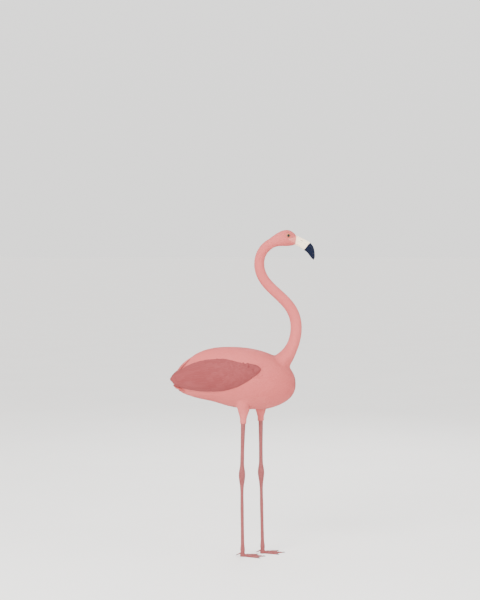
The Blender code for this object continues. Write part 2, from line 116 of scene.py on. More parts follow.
LEGS = {
    "right": {"hip": (0.006, 0.046), "ankle": (-0.003, 0.026), "foot": (0.000, 0.012), "turn": 2},
    "left": {"hip": (0.075, 0.048), "ankle": (0.077, 0.050), "foot": (0.084, 0.050), "turn": 7},
}
THIGH_RADII = (
    (THIGH_TOP, 0.034), (0.640, 0.030), (0.612, 0.0245), (0.590, 0.0178), (THIGH_END, 0.0125),
)  # fmt: skip
LEG_SECTIONS = (  # height, half-depth, half-width
    (THIGH_END, 0.0102, 0.0092), (0.500, 0.0088, 0.0078), (0.420, 0.0080, 0.0070), (0.374, 0.0092, 0.0085),
    (0.354, 0.0124, 0.0109), (ANKLE_HEIGHT, 0.0132, 0.0114), (0.322, 0.0116, 0.0102), (0.300, 0.0086, 0.0074),
    (0.200, 0.0074, 0.0060), (0.080, 0.0074, 0.0061), (0.045, 0.0082, 0.0074), (0.031, 0.0097, 0.0091),
    (TOE_JOINT_HEIGHT, 0.0091, 0.0089),
)  # fmt: skip
TOES = {"inner": (-31, 0.066), "middle": (0, 0.086), "outer": (28, 0.076)}
TOE_HALF_WIDTHS = (0.0052, 0.0029)
TOE_HEIGHTS = (0.0125, 0.0044)
HEEL_RADIUS, HEEL_HEIGHT = 0.0112, 0.0208
WEB_THICKNESS, WEB_HOLLOW = 0.0016, 0.16
HIND_TOE = {"height": 0.0155, "length": 0.019, "radius": 0.0038, "drop": 0.0085}
CLAW_LENGTH, CLAW_RADIUS = 0.009, 0.0024
CAD_GAP = 0.0004

SKIN_VOXEL, FOOT_VOXEL = 0.0036, 0.0011
WING_INSET = 0.003  # how far the wing feathers' roots lie under the wing's outside
GIRTH_X = 0.060  # rows of wing feathers further forward hold as many as one here
ROOTS_BACK, ROOTS_FRONT = 0.012, 0.006  # the wing's ends that hold no roots
MID_THIGH = 0.62
HEAD_START = 0.604  # the length along the neck where the head's finer skin begins
SKIN_DEPTHS = (HEAD_START, 0.68, 0.735, 0.752), (0.0028, 0.0019, 0.0011, 0.0004)  # lengths, depths under the plumage
SHOULDER_LENGTH, SHOULDER_REACH, SHOULDER_PASSES = 0.075, 0.062, 110  # where the neck's root is smoothed
HEAD_COAT = 0.0019
CORNEA_BULGE, CORNEA_EDGE = 0.045, 44  # share of the eye's radius, degrees from its line of sight
NOSTRIL = {"place": 0.024, "up": 0.0070, "out": 0.0128, "size": (0.0072, 0.0028, 0.00095), "turn": 0.06}
FLANK_HEIGHT, BREAST_X = 0.752, 0.06  # where back, breast and belly meet
NECK_PARTING, HEAD_PARTING = 0.335, 0.655  # lengths along the neck
BARE_EYE_RADIUS = 0.0126
REAR_LIMIT = 0.299  # no body feather reaches further back than this
KNUCKLE_SCALES = 14  # round the leg at its joints
FLOOR_RADIUS = 160.0
LIGHTS_AIM = Vector((0, 0, 0.75))
CAMERA_PLACE, CAMERA_FALL = (-0.0112, -6.02, 1.288), 2.12  # metres, degrees below level


def curve_through(rows):
    """A smooth function of the first column that passes through the other columns of every row."""
    rows = sorted(rows)
    places = np.array([row[0] for row in rows], float)
    values = np.array([row[1:] for row in rows], float)
    steps = np.diff(places)
    rises = np.diff(values, axis=0) / steps[:, None]
    slopes = np.vstack([rises[:1], rises[:1].repeat(len(rows) - 2, 0), rises[-1:]])
    for i in range(1, len(rows) - 1):
        before, after = steps[i - 1], steps[i]
        slopes[i] = (rises[i - 1] * after + rises[i] * before) / (before + after)

    def value(place):
        where = np.atleast_1d(np.asarray(place, float))
        i = np.clip(np.searchsorted(places, where, side="right") - 1, 0, len(steps) - 1)
        step = steps[i][:, None]
        u = np.clip((where - places[i])[:, None] / step, 0, 1)
        found = (
            (2 * u**3 - 3 * u**2 + 1) * values[i]
            + (u**3 - 2 * u**2 + u) * step * slopes[i]
            + (3 * u**2 - 2 * u**3) * values[i + 1]
            + (u**3 - u**2) * step * slopes[i + 1]
        )
        return found[0] if np.ndim(place) == 0 else found

    return value


def bent_line(start, bends, step=0.0005):
    """A line in the XZ plane that follows its direction in degrees: gives (points, directions) by length."""
    direction = curve_through(bends)
    end = bends[-1][0]
    count = math.ceil(end / step)
    angles = np.radians(direction((np.arange(count) + 0.5) * end / count)[:, 0])
    steps = np.stack([np.cos(angles), 0 * angles, np.sin(angles)], 1) * (end / count)
    points = np.vstack([[0, 0, 0], np.cumsum(steps, axis=0)]) + np.array(start)

    def at(length):
        share = np.clip(np.atleast_1d(np.asarray(length, float)) / end, 0, 1) * count
        i = np.minimum(count - 1, share.astype(int))
        found = points[i] + (points[i + 1] - points[i]) * (share - i)[:, None]
        angle = np.radians(direction(np.atleast_1d(np.asarray(length, float)))[:, 0])
        headings = np.stack([np.cos(angle), 0 * angle, np.sin(angle)], 1)
        return (found[0], headings[0]) if np.ndim(length) == 0 else (found, headings)

    return at


def smoothstep(low, high, value):
    share = np.clip((np.asarray(value, float) - low) / (high - low), 0, 1)
    return share * share * (3 - 2 * share)


def unit(vectors):
    return vectors / np.maximum(1e-12, np.linalg.norm(vectors, axis=-1, keepdims=True))


def in_plane(vectors, normals):
    """The vectors laid flat on the planes that the normals stand on, at length one."""
    return unit(vectors - (vectors * normals).sum(-1, keepdims=True) * normals)


TRUNK_MIDDLE, TRUNK_HALF = (REAR_X + FRONT_X) / 2, (FRONT_X - REAR_X) / 2


def trunk_angle(x):
    return np.arccos(np.clip((TRUNK_MIDDLE - np.asarray(x, float)) / TRUNK_HALF, -1, 1))


trunk_profile = curve_through([(float(trunk_angle(row[0])), *row[1:]) for row in TRUNK_OUTLINE])
neck_line = bent_line(NECK_ROOT, NECK_BENDS)
neck_radius = curve_through(NECK_RADII)
head_reach = curve_through(HEAD_OUTLINE)
thigh_radius = curve_through(THIGH_RADII)
leg_section = curve_through(LEG_SECTIONS)
wing_section = curve_through(WING_OUTLINE)


def leg_line(name, side):
    leg = LEGS[name]
    rows = [(0.0, leg["foot"]), (ANKLE_HEIGHT, leg["ankle"]), (THIGH_TOP, leg["hip"])]
    through = curve_through([(height, x, y * side) for height, (x, y) in rows])

    def at(height):
        x, y = through(float(height))
        return np.array((x, y, float(height)))

    return at


def turns_round(count):
    return np.arange(count) * 2 * math.pi / count


def oval(centre, side, up, half_width, rise, fall, count, narrowing=0.0):
    """A ring round a centre, with its own reach up and down; narrowing slims it below."""
    angle = turns_round(count)
    height = np.sin(angle)
    reach = half_width * np.cos(angle) * (1 + narrowing * height)
    lift = np.where(height > 0, rise, fall) * height
    return np.asarray(centre) + reach[:, None] * np.asarray(side) + lift[:, None] * np.asarray(up)


def frame_at(line, length):
    """The point of a line at a length along it, and the directions across and above it there."""
    centre, forward = line(length)
    return centre, ACROSS, np.cross(forward, ACROSS)


def trunk_ring(x, count):
    back, belly, half_width = trunk_profile(float(trunk_angle(x)))
    widest = belly + WIDEST_SHARE * (back - belly)
    if half_width < 0.001:
        return np.array([(x, 0, widest)])
    return oval((x, 0, widest), Y_AXIS, Z_AXIS, half_width, back - widest, widest - belly, count, 0.06)


def wing_point(x, angle, side, inset=0.0):
    """A point of the folded wing's surface: angle 0 faces out from the body and 90 is the upper edge."""
    height, half_height, y, thick, lean = wing_section(float(x))
    inset = min(inset, 0.35 * thick)
    across = max(0.0, thick - inset) * math.cos(angle)
    up = max(0.0, half_height - inset) * math.sin(angle)
    across -= up * up / (2 * WING_WRAP_RADIUS)
    turn = math.radians(lean)
    # The lean turns the wing's upper edge towards the bird's middle.
    return np.array(
        (
            x,
            side * (y + across * math.cos(turn) - up * math.sin(turn)),
            height + up * math.cos(turn) + across * math.sin(turn),
        )
    )


# --- Meshes ---------------------------------------------------------------------------------


def linked(name, mesh):
    obj = bpy.data.objects.new(name, mesh)
    bpy.context.scene.collection.objects.link(obj)
    return obj


def bridge(bm, layers):
    """Faces between each ring of vertices and the next."""
    for low, high in zip(layers, layers[1:]):
        count = max(len(low), len(high))
        for i in range(count):
            j = (i + 1) % count
            corners = []
            for corner in (low[i % len(low)], low[j % len(low)], high[j % len(high)], high[i % len(high)]):
                if corner not in corners:
                    corners.append(corner)
            bm.faces.new(corners)


def loft(name, rings):
    """A closed object through rings of points. A ring of one point closes an end to a tip."""
    bm = bmesh.new()
    layers = [[bm.verts.new(point) for point in ring] for ring in rings]
    bridge(bm, layers)
    for end in (layers[0], layers[-1]):
        if len(end) > 1:
            bm.faces.new(end)
    return from_bmesh(name, bm)


def from_bmesh(name, bm):
    bmesh.ops.recalc_face_normals(bm, faces=bm.faces[:])
    mesh = bpy.data.meshes.new(name)
    bm.to_mesh(mesh)
    bm.free()
    mesh.shade_smooth()
    return linked(name, mesh)


def vectors_of(items, key):
    values = np.empty(len(items) * 3, np.float32)
    items.foreach_get(key, values)
    return values.reshape(-1, 3).astype(float)


def points_of(obj):
    return vectors_of(obj.data.vertices, "co")


def normals_of(obj):
    return vectors_of(obj.data.vertex_normals, "vector")


def move_points(obj, points):
    obj.data.vertices.foreach_set("co", np.asarray(points, np.float32).ravel())
    obj.data.update()


def settled(obj):
    """A plain mesh object of what the modifiers make of obj, which is removed."""
    graph = bpy.context.evaluated_depsgraph_get()
    mesh = bpy.data.meshes.new_from_object(obj.evaluated_get(graph))
    name = obj.name
    discard(obj)
    mesh.name = name
    return linked(name, mesh)


def discard(*objs):
    for obj in objs:
        mesh = obj.data
        bpy.data.objects.remove(obj)
        if mesh and mesh.users == 0:
            bpy.data.meshes.remove(mesh)


def joined(name, parts):
    """One object that holds the meshes of several, which are removed."""
    bm = bmesh.new()
    for part in parts:
        bm.from_mesh(part.data)
    discard(*parts)
    mesh = bpy.data.meshes.new(name)
    bm.to_mesh(mesh)
    bm.free()
    return linked(name, mesh)


def surface_tree(parts):
    """A search tree of the outsides of several objects."""
    points, corners = [], []
    for part in parts:
        first = len(points)
        points += [vert.co.copy() for vert in part.data.vertices]
        corners += [tuple(first + i for i in face.vertices) for face in part.data.polygons]
    return BVHTree.FromPolygons(points, corners)


def blended(name, parts, voxel, smoothing):
    """The parts grown into one closed surface, with their creases softened."""
    whole = joined(name, parts)
    remesh = whole.modifiers.new("blend", "REMESH")
    remesh.mode, remesh.voxel_size, remesh.use_smooth_shade = "VOXEL", voxel, True
    return softened(settled(whole), smoothing)


def softened(obj, rounds, weights=None):
    """The object smoothed in rounds, all over or by a weight for each vertex."""
    smooth = obj.modifiers.new("soften", "SMOOTH")
    smooth.factor, smooth.iterations = 0.5, rounds
    if weights is not None:
        group = obj.vertex_groups.new(name="softened")
        for i in np.nonzero(weights > 0.01)[0].tolist():
            group.add([i], float(weights[i]), "REPLACE")
        smooth.vertex_group = group.name
    return settled(obj)


def combined(base, operation, *tools):
    """The base with each tool added to it or cut from it; the tools are removed."""
    for tool in tools:
        change = base.modifiers.new("with " + tool.name, "BOOLEAN")
        change.operation, change.solver, change.object = operation, "MANIFOLD", tool
    made = settled(base)
    discard(*tools)
    return made


def store(mesh, name, values, kind="FLOAT"):
    attribute = mesh.attributes.new(name, kind, "POINT")
    key = "value" if kind == "FLOAT" else "vector"
    attribute.data.foreach_set(key, np.asarray(values, np.float32).ravel())


# --- Node trees -----------------------------------------------------------------------------


def pick(sockets, key):
    if isinstance(key, int):
        return sockets[key]
    for test in (lambda s: s.identifier == key, lambda s: s.name == key and s.enabled):
        for socket in sockets:
            if test(socket):
                return socket
    raise KeyError(f"no socket {key!r} among {[s.identifier for s in sockets]}")


class Sum:
    """A socket that takes part in Python sums: each operator adds one Math or Vector Math node."""

    def __init__(self, graph, socket):
        self.graph, self.socket = graph, socket

    def _with(self, operation, other, swap=False):
        pair = (other, self) if swap else (self, other)
        vectors = [x for x in pair if isinstance(x, Sum) and x.socket.type == "VECTOR"]
        kind, values = "ShaderNodeVectorMath" if vectors else "ShaderNodeMath", {0: pair[0], 1: pair[1]}
        if operation == "MULTIPLY" and len(vectors) == 1:
            share = pair[1] if pair[0] is vectors[0] else pair[0]
            if not isinstance(share, tuple):
                operation, values = "SCALE", {0: vectors[0], "Scale": share}
        return self.graph.node(kind, {"operation": operation}, values)

    __add__, __radd__ = partialmethod(_with, "ADD"), partialmethod(_with, "ADD", swap=True)
    __sub__, __rsub__ = partialmethod(_with, "SUBTRACT"), partialmethod(_with, "SUBTRACT", swap=True)
    __mul__, __rmul__ = partialmethod(_with, "MULTIPLY"), partialmethod(_with, "MULTIPLY", swap=True)
    __truediv__, __rtruediv__ = partialmethod(_with, "DIVIDE"), partialmethod(_with, "DIVIDE", swap=True)

    def math(self, operation, other=0.0):
        return self.graph.node("ShaderNodeMath", {"operation": operation}, {0: self, 1: other})

    def at_most(self, other):
        return self.math("MINIMUM", other)

    def at_least(self, other):
        return self.math("MAXIMUM", other)

    def between(self, low, high):
        """0 below low, 1 above high and smooth between, or the reverse where low is the larger."""
        kind, settings = "ShaderNodeMapRange", {"interpolation_type": "SMOOTHSTEP"}
        if low <= high:
            return self.graph.node(kind, settings, {"Value": self, "From Min": low, "From Max": high})
        values = {"Value": self, "From Min": high, "From Max": low, "To Min": 1.0, "To Max": 0.0}
        return self.graph.node(kind, settings, values)


class Graph:
    """A node tree that is written as Python calls."""

    def __init__(self, tree):
        self.tree = tree

    def node(self, kind, settings=None, values=None, output=0):
        made = self.tree.nodes.new(kind)
        for key, value in (settings or {}).items():
            setattr(made, key, value)
        for key, value in (values or {}).items():
            socket = pick(made.inputs, key)
            if isinstance(value, Sum):
                self.tree.links.new(value.socket, socket)
            elif isinstance(value, (int, float)) and hasattr(socket.default_value, "__len__"):
                socket.default_value = [value] * len(socket.default_value)
            elif isinstance(value, tuple) and len(value) == 3 and socket.type == "RGBA":
                socket.default_value = (*value, 1.0)
            else:
                socket.default_value = value
        return Sum(self, pick([o for o in made.outputs if o.enabled] if output == 0 else made.outputs, output))

    def mix(self, factor, first, second):
        values = {"Factor_Float": factor, "A_Color": first, "B_Color": second}
        return self.node("ShaderNodeMix", {"data_type": "RGBA"}, values, "Result_Color")

    def noise(self, place, scale, detail=2.0, roughness=0.5):
        values = {"Vector": place, "Scale": scale, "Detail": detail, "Roughness": roughness}
        return self.node("ShaderNodeTexNoise", None, values, "Fac")

    def attribute(self, name):
        return self.node("ShaderNodeAttribute", {"attribute_name": name}, None, "Fac")

    def object_place(self):
        return self.node("ShaderNodeTexCoord", None, None, "Object")

    def split(self, vector):
        made = self.node("ShaderNodeSeparateXYZ", None, {"Vector": vector}, "X")
        return [Sum(self, pick(made.socket.node.outputs, axis)) for axis in "XYZ"]


def finish_material(name, build, **plain):
    """A material whose build function gives base colour, roughness and relief from a graph; plain holds
    the shader's uniform settings by name."""
    made = bpy.data.materials.new(name)
    made.use_nodes = True
    graph = Graph(made.node_tree)
    made.node_tree.nodes.clear()
    colour, roughness, relief, depth = build(graph)
    values = {"Base Color": colour, "Roughness": roughness}
    if relief is not None:
        bump = graph.node("ShaderNodeBump", None, {"Height": relief, "Distance": depth, "Strength": 1.0}, "Normal")
        values["Normal"] = bump
    values.update({key.replace("_", " "): value for key, value in plain.items()})
    shader = graph.node("ShaderNodeBsdfPrincipled", None, values, "BSDF")
    output = made.node_tree.nodes.new("ShaderNodeOutputMaterial")
    made.node_tree.links.new(shader.socket, output.inputs["Surface"])
    return made


# --- Where the skin lies and how the plumage runs over it -----------------------------------

NECK_PLACES = np.linspace(0.0, HEAD_END, 190)
NECK_POINTS, NECK_HEADINGS = neck_line(NECK_PLACES)
NECK_EXIT = neck_line(0.150)[0]  # the plumage runs outwards from here over the trunk
LEG_LINES = {name: leg_line(name, side) for name, side in SIDES}


def along_neck(points):
    """Each point's length along the neck's line, and its distance from it as a share of the neck's reach."""
    lengths, shares = [], []
    for part in np.array_split(points, max(1, len(points) // 4000)):
        gaps = part[:, None, :] - NECK_POINTS[None]
        near = (gaps**2).sum(-1).argmin(1)
        offset = part - NECK_POINTS[near]
        ahead = (offset * NECK_HEADINGS[near]).sum(-1)
        length = NECK_PLACES[near] + ahead
        off = offset - ahead[:, None] * NECK_HEADINGS[near]
        reach = neck_radius(np.clip(length, 0, NECK_LENGTH))
        reach[length > NECK_LENGTH] = 0.045
        lengths.append(length)
        shares.append(np.hypot(np.hypot(off[:, 0], off[:, 2]) / reach[:, 0], off[:, 1] / reach[:, 1]))
    return np.concatenate(lengths), np.concatenate(shares)


def neck_share(points):
    """1 on the neck and head, 0 on the trunk and legs, with the length along the neck."""
    length, share = along_neck(points)
    return smoothstep(0.055, 0.125, length) * (1 - smoothstep(1.25, 1.6, share)), length


def thigh_share(points):
    found = np.zeros(len(points))
    for line in LEG_LINES.values():
        middle = line(MID_THIGH)
        away = np.hypot(points[:, 0] - middle[0], points[:, 1] - middle[1])
        near = 1 - smoothstep(0.034, 0.046, away)
        found = np.maximum(found, near * (1 - smoothstep(0.622, 0.652, points[:, 2])))
    return found


def under_wing(points):
    """Whether each point lies where the folded wing covers the trunk."""
    height, half_height, y, thick, _ = wing_section(points[:, 0]).T
    within = (points[:, 0] < WING_FRONT - 0.004) & (points[:, 0] > WING_TIP)
    margin = 0.90 + 0.25 * smoothstep(-0.245, -0.270, points[:, 0])
    level = np.abs(points[:, 2] - height) < half_height * margin
    return within & level & (np.abs(points[:, 1]) > y - thick * 1.1)


def before_wing(points):
    """1 just ahead of the folded wing's front, so that the feathers there stop short of it, falling to 0."""
    height, half_height = wing_section(np.full(len(points), WING_FRONT - 0.02)).T[:2]
    ahead = smoothstep(WING_FRONT + 0.030, WING_FRONT + 0.008, points[:, 0]) * (points[:, 0] > WING_FRONT - 0.03)
    return ahead * (1 - smoothstep(1.1, 2.0, np.abs(points[:, 2] - height) / half_height))


def coat_depth(points):
    """How far the skin lies under the outside of the plumage."""
    neck, length = neck_share(points)
    thin = 0.0028 + (0.0060 - 0.0028) * (1 - smoothstep(0.10, 0.26, length))
    trunk = 0.0062 - 0.0024 * smoothstep(-0.215, -0.275, points[:, 0])
    depth = trunk * (1 - neck) + thin * neck
    thigh = thigh_share(points)
    return depth * (1 - thigh) + 0.0042 * thigh


def make_core():
    """Trunk, neck, thighs and the flesh of the folded wings as one surface under the plumage."""
    angles = np.linspace(0, math.pi, 60)
    parts = [loft("trunk_core", [trunk_ring(TRUNK_MIDDLE - TRUNK_HALF * math.cos(a), 72) for a in angles])]
    rings = []
    for length in np.arange(0.02, 0.6201, 0.004):
        radius, half_width = neck_radius(length) + 0.003 * math.exp(-(((length - 0.085) / 0.03) ** 2))
        centre, side, up = frame_at(neck_line, length)
        rings.append(oval(centre, side, up, half_width, radius, radius, 48))
    parts.append(loft("neck_core", rings))
    for name, _ in SIDES:
        rings = []
        for height in np.arange(THIGH_END + 0.004, THIGH_TOP, 0.004):
            r = thigh_radius(height)[0]
            rings.append(oval(LEG_LINES[name](height), X_AXIS, Y_AXIS, r, r * 0.9, r * 0.9, 40))
        parts.append(loft("thigh_core", rings))
    turns = turns_round(40)
    for _, side in SIDES:
        rings = [[wing_point(x, a, side) for a in turns] for x in np.linspace(-0.282, 0.068, 76)]
        parts.append(loft("wing_core", rings))
    outside = surface_tree(parts)
    core = blended("core", parts, SKIN_VOXEL, 10)
    points = points_of(core)
    shoulders = np.exp(-((np.linalg.norm(points - neck_line(SHOULDER_LENGTH)[0], axis=1) / SHOULDER_REACH) ** 4))
    core = softened(core, SHOULDER_PASSES, shoulders)
    points, normals = points_of(core), normals_of(core)
    shrunk = np.zeros(len(points))
    for i, point in enumerate(points):
        found, facing, _, gap = outside.find_nearest(point, 0.012)
        if found and (found - Vector(point)).dot(facing) > 0:
            shrunk[i] = gap * (1 - 0.75 * shoulders[i])
    move_points(core, points + normals * (shrunk - coat_depth(points))[:, None])
    return core


def eye_centre(side):
    return Vector((EYE_PLACE.x, EYE_PLACE.y * side, EYE_PLACE.z))


def face_relief(length, point, up_reach, across):
    """How far the face's skin stands out at a point of the head: brow, lores, cheek and gape."""
    from_eye = Vector(point) - eye_centre(math.copysign(1, point[1]))
    ahead, above = from_eye.x, from_eye.z
    side = smoothstep(0.25, 0.75, abs(across))
    brow = 0.0011 * math.exp(-((ahead + 0.001) / 0.011) ** 2 - ((above - 0.0125) / 0.0035) ** 2)
    lores = -0.0011 * math.exp(-((ahead - 0.019) / 0.0075) ** 2 - ((above + 0.003) / 0.006) ** 2)
    cheek = 0.0009 * math.exp(-((ahead + 0.004) / 0.012) ** 2 - ((above + 0.018) / 0.007) ** 2)
    from_gape = (length - HEAD_END) / 0.018
    fold = 0.0
    if from_gape < 0:
        line = GAPE_RISE + 0.0006 - 0.0035 * from_gape**2
        fold = -0.0009 * math.exp(-(((up_reach - line) / 0.0011) ** 2)) * math.exp(-(from_gape**2))
    wrinkle = 0.00010 * math.sin(above * 2600 + 1.6 * math.sin(ahead * 900)) * smoothstep(0.728, 0.742, length)
    return float(side * (brow + lores + cheek + fold) + wrinkle)


def make_head_skin():
    rings = []
    for length in [*np.arange(HEAD_START, 0.7505, 0.0014), HEAD_END, HEAD_END + 0.0012]:
        along = min(length, HEAD_END)
        if along < NECK_LENGTH:
            rise = fall = half_width = neck_radius(along)[0]
        else:
            rise, fall, half_width = head_reach(along)
        depth = float(np.interp(along, *SKIN_DEPTHS))
        depth += 0.0012 * (length > HEAD_END)
        centre, side, up = frame_at(neck_line, along)
        centre = centre + neck_line(along)[1] * max(0.0, length - HEAD_END)
        ring = oval(centre, side, up, half_width - depth, rise - depth, fall - depth, 88)
        if length > NECK_LENGTH:
            outs = unit(ring - centre)
            reach = (ring - centre) @ up
            across = (ring - centre) @ side / half_width
            lifts = [face_relief(length, p, h, c) for p, h, c in zip(ring, reach, across)]
            ring = ring + outs * np.array(lifts)[:, None]
        rings.append(ring)
    return loft("head_skin", rings)


def eye_frame(side):
    """The eye's centre and its axes: out along the line of sight, forwards and up."""
    centre = eye_centre(side)
    out = Vector((0.16, side, 0.03)).normalized()
    ahead = (X_AXIS - out * out.x).normalized()
    return centre, out, ahead, out.cross(ahead) * side


def ball(name, centre, radius):
    bm = bmesh.new()
    bmesh.ops.create_uvsphere(bm, u_segments=48, v_segments=32, radius=radius)
    bmesh.ops.translate(bm, vec=centre, verts=bm.verts[:])
    return from_bmesh(name, bm)


def make_lids(side):
    """The rim of bare skin round the eye, thicker over it, with an oval opening."""
    centre, out, ahead, above = eye_frame(side)
    bm = bmesh.new()
    rings = []
    count = 72
    for i in range(count):
        turn = 2 * math.pi * i / count
        c, s = math.cos(turn), math.sin(turn)
        opening = math.radians(43.0 - 3.5 * s * s + 1.2 * c - (1.5 if s > 0 else 0) * s)
        heavy = 1 + 0.35 * max(0.0, s)
        profile = (
            (opening + 0.06, EYE_RADIUS - 0.0012), (opening - 0.005, EYE_RADIUS + 0.00015),
            (opening - 0.018, EYE_RADIUS + 0.00040 * heavy), (opening + 0.010, EYE_RADIUS + 0.00068 * heavy),
            (opening + 0.065, EYE_RADIUS + 0.00070 * heavy), (opening + 0.115, EYE_RADIUS + 0.00046 * heavy),
            (opening + 0.160, EYE_RADIUS + 0.00068 * heavy), (opening + 0.230, EYE_RADIUS + 0.00050),
            (opening + 0.300, EYE_RADIUS + 0.00062), (opening + 0.450, EYE_RADIUS + 0.00045),
            (opening + 0.620, EYE_RADIUS + 0.00030), (opening + 0.880, EYE_RADIUS + 0.00020),
            (opening + 0.880, EYE_RADIUS - 0.0026), (opening + 0.300, EYE_RADIUS - 0.0030),
        )  # fmt: skip
        ring = []
        for angle, reach in profile:
            across = (ahead * c + above * s) * math.sin(angle) + out * math.cos(angle)
            ring.append(bm.verts.new(centre + across * reach))
        rings.append(ring)
    for ring, after in zip(rings, rings[1:] + rings[:1]):
        for j in range(len(ring)):
            k = (j + 1) % len(ring)
            bm.faces.new((ring[j], ring[k], after[k], after[j]))
    return from_bmesh("lids", bm)


# --- Feet -----------------------------------------------------------------------------------


def toe_width(share):
    return TOE_HALF_WIDTHS[0] + (TOE_HALF_WIDTHS[1] - TOE_HALF_WIDTHS[0]) * min(1.0, share)


def toe_height(share):
    fall = TOE_HEIGHTS[0] + (TOE_HEIGHTS[1] - TOE_HEIGHTS[0]) * share**0.6
    return fall * (1 + 0.14 * sum(math.exp(-(((share - joint) / 0.07) ** 2)) for joint in (0.36, 0.68)))


def foot_reach(angle):
    """How far the foot's edge is from the toe joint, in a direction in degrees."""
    reach = HEEL_RADIUS
    for toe_angle, length in TOES.values():
        off = math.radians(angle - toe_angle)
        if math.cos(off) > 0:
            side = toe_width(1.0) if abs(off) < 0.06 else toe_width(0.5)
            along, across = length * math.cos(off), side / max(1e-6, abs(math.sin(off)))
            reach = max(reach, (along**-8 + across**-8) ** (-1 / 8))
    order = sorted(TOES.values())
    for (low, near), (high, far) in zip(order, order[1:]):
        share = (angle - low) / (high - low)
        if 0 <= share <= 1:
            edge = (near + (far - near) * share) * (1 - WEB_HOLLOW * math.sin(math.pi * share) ** 0.7)
            reach = max(reach, edge)
    return reach


def foot_height(x, y):
    """The foot's upper surface over a point of the floor, measured from the toe joint."""
    height = WEB_THICKNESS
    for toe_angle, length in TOES.values():
        angle = math.radians(toe_angle)
        along = x * math.cos(angle) + y * math.sin(angle)
        across = y * math.cos(angle) - x * math.sin(angle)
        share = along / length
        if 0 <= share <= 1.02:
            off = 1 - (across / toe_width(share)) ** 2
            tip = 1 - 0.45 * max(0.0, (share - 0.9) / 0.1) ** 2
            height = max(height, toe_height(min(1.0, share)) * tip * math.sqrt(max(0.0, off)))
    off = 1 - (x * x + y * y) / HEEL_RADIUS**2
    return max(height, HEEL_HEIGHT * math.sqrt(max(0.0, off)))


def foot_place(name, side):
    leg = LEGS[name]
    turn = Matrix.Rotation(math.radians(leg["turn"] * side), 4, "Z")
    return Matrix.Translation((leg["foot"][0], leg["foot"][1] * side, 0)) @ turn


def toe_heading(place, degrees, side):
    turn = math.radians(degrees * side)
    return place.to_3x3() @ Vector((math.cos(turn), math.sin(turn), 0))


def make_foot(name, side):
    """The webbed foot with its toe backs, and the hind toe, grown into the end of the tarsus."""
    place = foot_place(name, side)
    bm = bmesh.new()
    centre = bm.verts.new((0, 0, HEEL_HEIGHT))
    shares = [(i + 1) / 22 for i in range(22)]
    columns = []
    for angle in np.arange(-180, 180, 1.6):
        reach = foot_reach(angle) - 0.0003
        c, s = math.cos(math.radians(angle)), math.sin(math.radians(angle))
        column = []
        for share in shares:
            x, y = reach * share * c, reach * share * s
            column.append(bm.verts.new((x, y * side, foot_height(x, y))))
        columns.append([*column, bm.verts.new((x, y * side, 0.0))])
    for column, after in zip(columns, columns[1:] + columns[:1]):
        bm.faces.new((centre, column[0], after[0]))
        for i in range(len(column) - 1):
            bm.faces.new((column[i], column[i + 1], after[i + 1], after[i]))
    bm.faces.new([column[-1] for column in columns])
    bmesh.ops.transform(bm, matrix=place, verts=bm.verts[:])
    parts = [from_bmesh("foot_core", bm)]
    rings = []
    for height in np.arange(0.012, 0.060, 0.003):
        depth, width = leg_section(max(height, TOE_JOINT_HEIGHT)) - 0.0003
        rings.append(oval(LEG_LINES[name](height), X_AXIS, Y_AXIS, depth, width, width, 32))
    parts.append(loft("tarsus_end", rings))
    heading = place.to_3x3() @ Vector((-1, 0, 0))
    root = place.translation + Z_AXIS * HIND_TOE["height"]
    rings = []
    for share in np.linspace(0, 1, 14):
        centre = root + heading * (HIND_TOE["length"] + HIND_TOE["radius"]) * share
        centre -= Z_AXIS * HIND_TOE["drop"] * share**1.5
        r = HIND_TOE["radius"] * (1 - 0.35 * share) * (1 if share < 1 else 0.7)
        rings.append(oval(centre, Y_AXIS, Z_AXIS, r, r, r, 20))
    parts.append(loft("hind_toe", rings))
    foot = blended("foot_skin", parts, FOOT_VOXEL, 3)
    points = points_of(foot)
    points[:, 2] = np.maximum(points[:, 2], 0.0)
    move_points(foot, points)
    return foot


def make_leg_skin(name):
    """The bare leg from above the foot up into the thigh, with the ankle's knuckles."""
    line = LEG_LINES[name]
    rings = []
    for height in np.arange(0.046, 0.602, 0.0026):
        depth, width = leg_section(min(height, THIGH_END)) - 0.0004
        ring = oval(line(height), X_AXIS, Y_AXIS, depth, width, width, 36)
        angle = turns_round(36)
        off = (height - ANKLE_HEIGHT) / 0.011
        knuckle = 0.0007 * np.abs(np.sin(angle)) ** 3 * math.exp(-((off - 0.5) ** 2))
        hollow = -0.0010 * np.abs(np.sin(2 * angle)) * math.exp(-((off + 0.6) ** 2) / 2)
        tendon = 0.0003 * np.cos(angle + math.pi) ** 8 * math.exp(-((off / 8) ** 4))
        ring += unit(ring - line(height)) * (knuckle + hollow + tendon)[:, None]
        rings.append(ring)
    return loft("leg_skin", rings)


# --- Laying vanes ---------------------------------------------------------------------------

PATCH = 0.003  # how wide each vane's patch is on the bake map


def vane(name, rows, columns, dome, thick):
    """One closed blade from a root at the origin to a tip at X = 1. Each row is a length and a half-width."""
    bm = bmesh.new()
    quill = bm.verts.layers.float_vector.new("quill")
    rings = []
    for along, half in rows:
        if half <= 0:
            spots = [(along, 0.0, 0.0)]
        else:
            across = [-1 + 2 * i / (columns - 1) for i in range(columns)]
            top = [(along, half * c, dome * (1 - c * c) * half * 2) for c in across]
            under = [(along, half * c, dome * (1 - c * c) * half * 2 - thick) for c in across[1:-1]]
            spots = top + under[::-1]
        ring = []
        for spot in spots:
            vert = bm.verts.new(spot)
            vert[quill] = spot
            ring.append(vert)
        rings.append(ring)
    bridge(bm, rings)
    blade = from_bmesh(name, bm)
    blade.data.set_sharp_from_angle(angle=math.radians(40))
    return blade


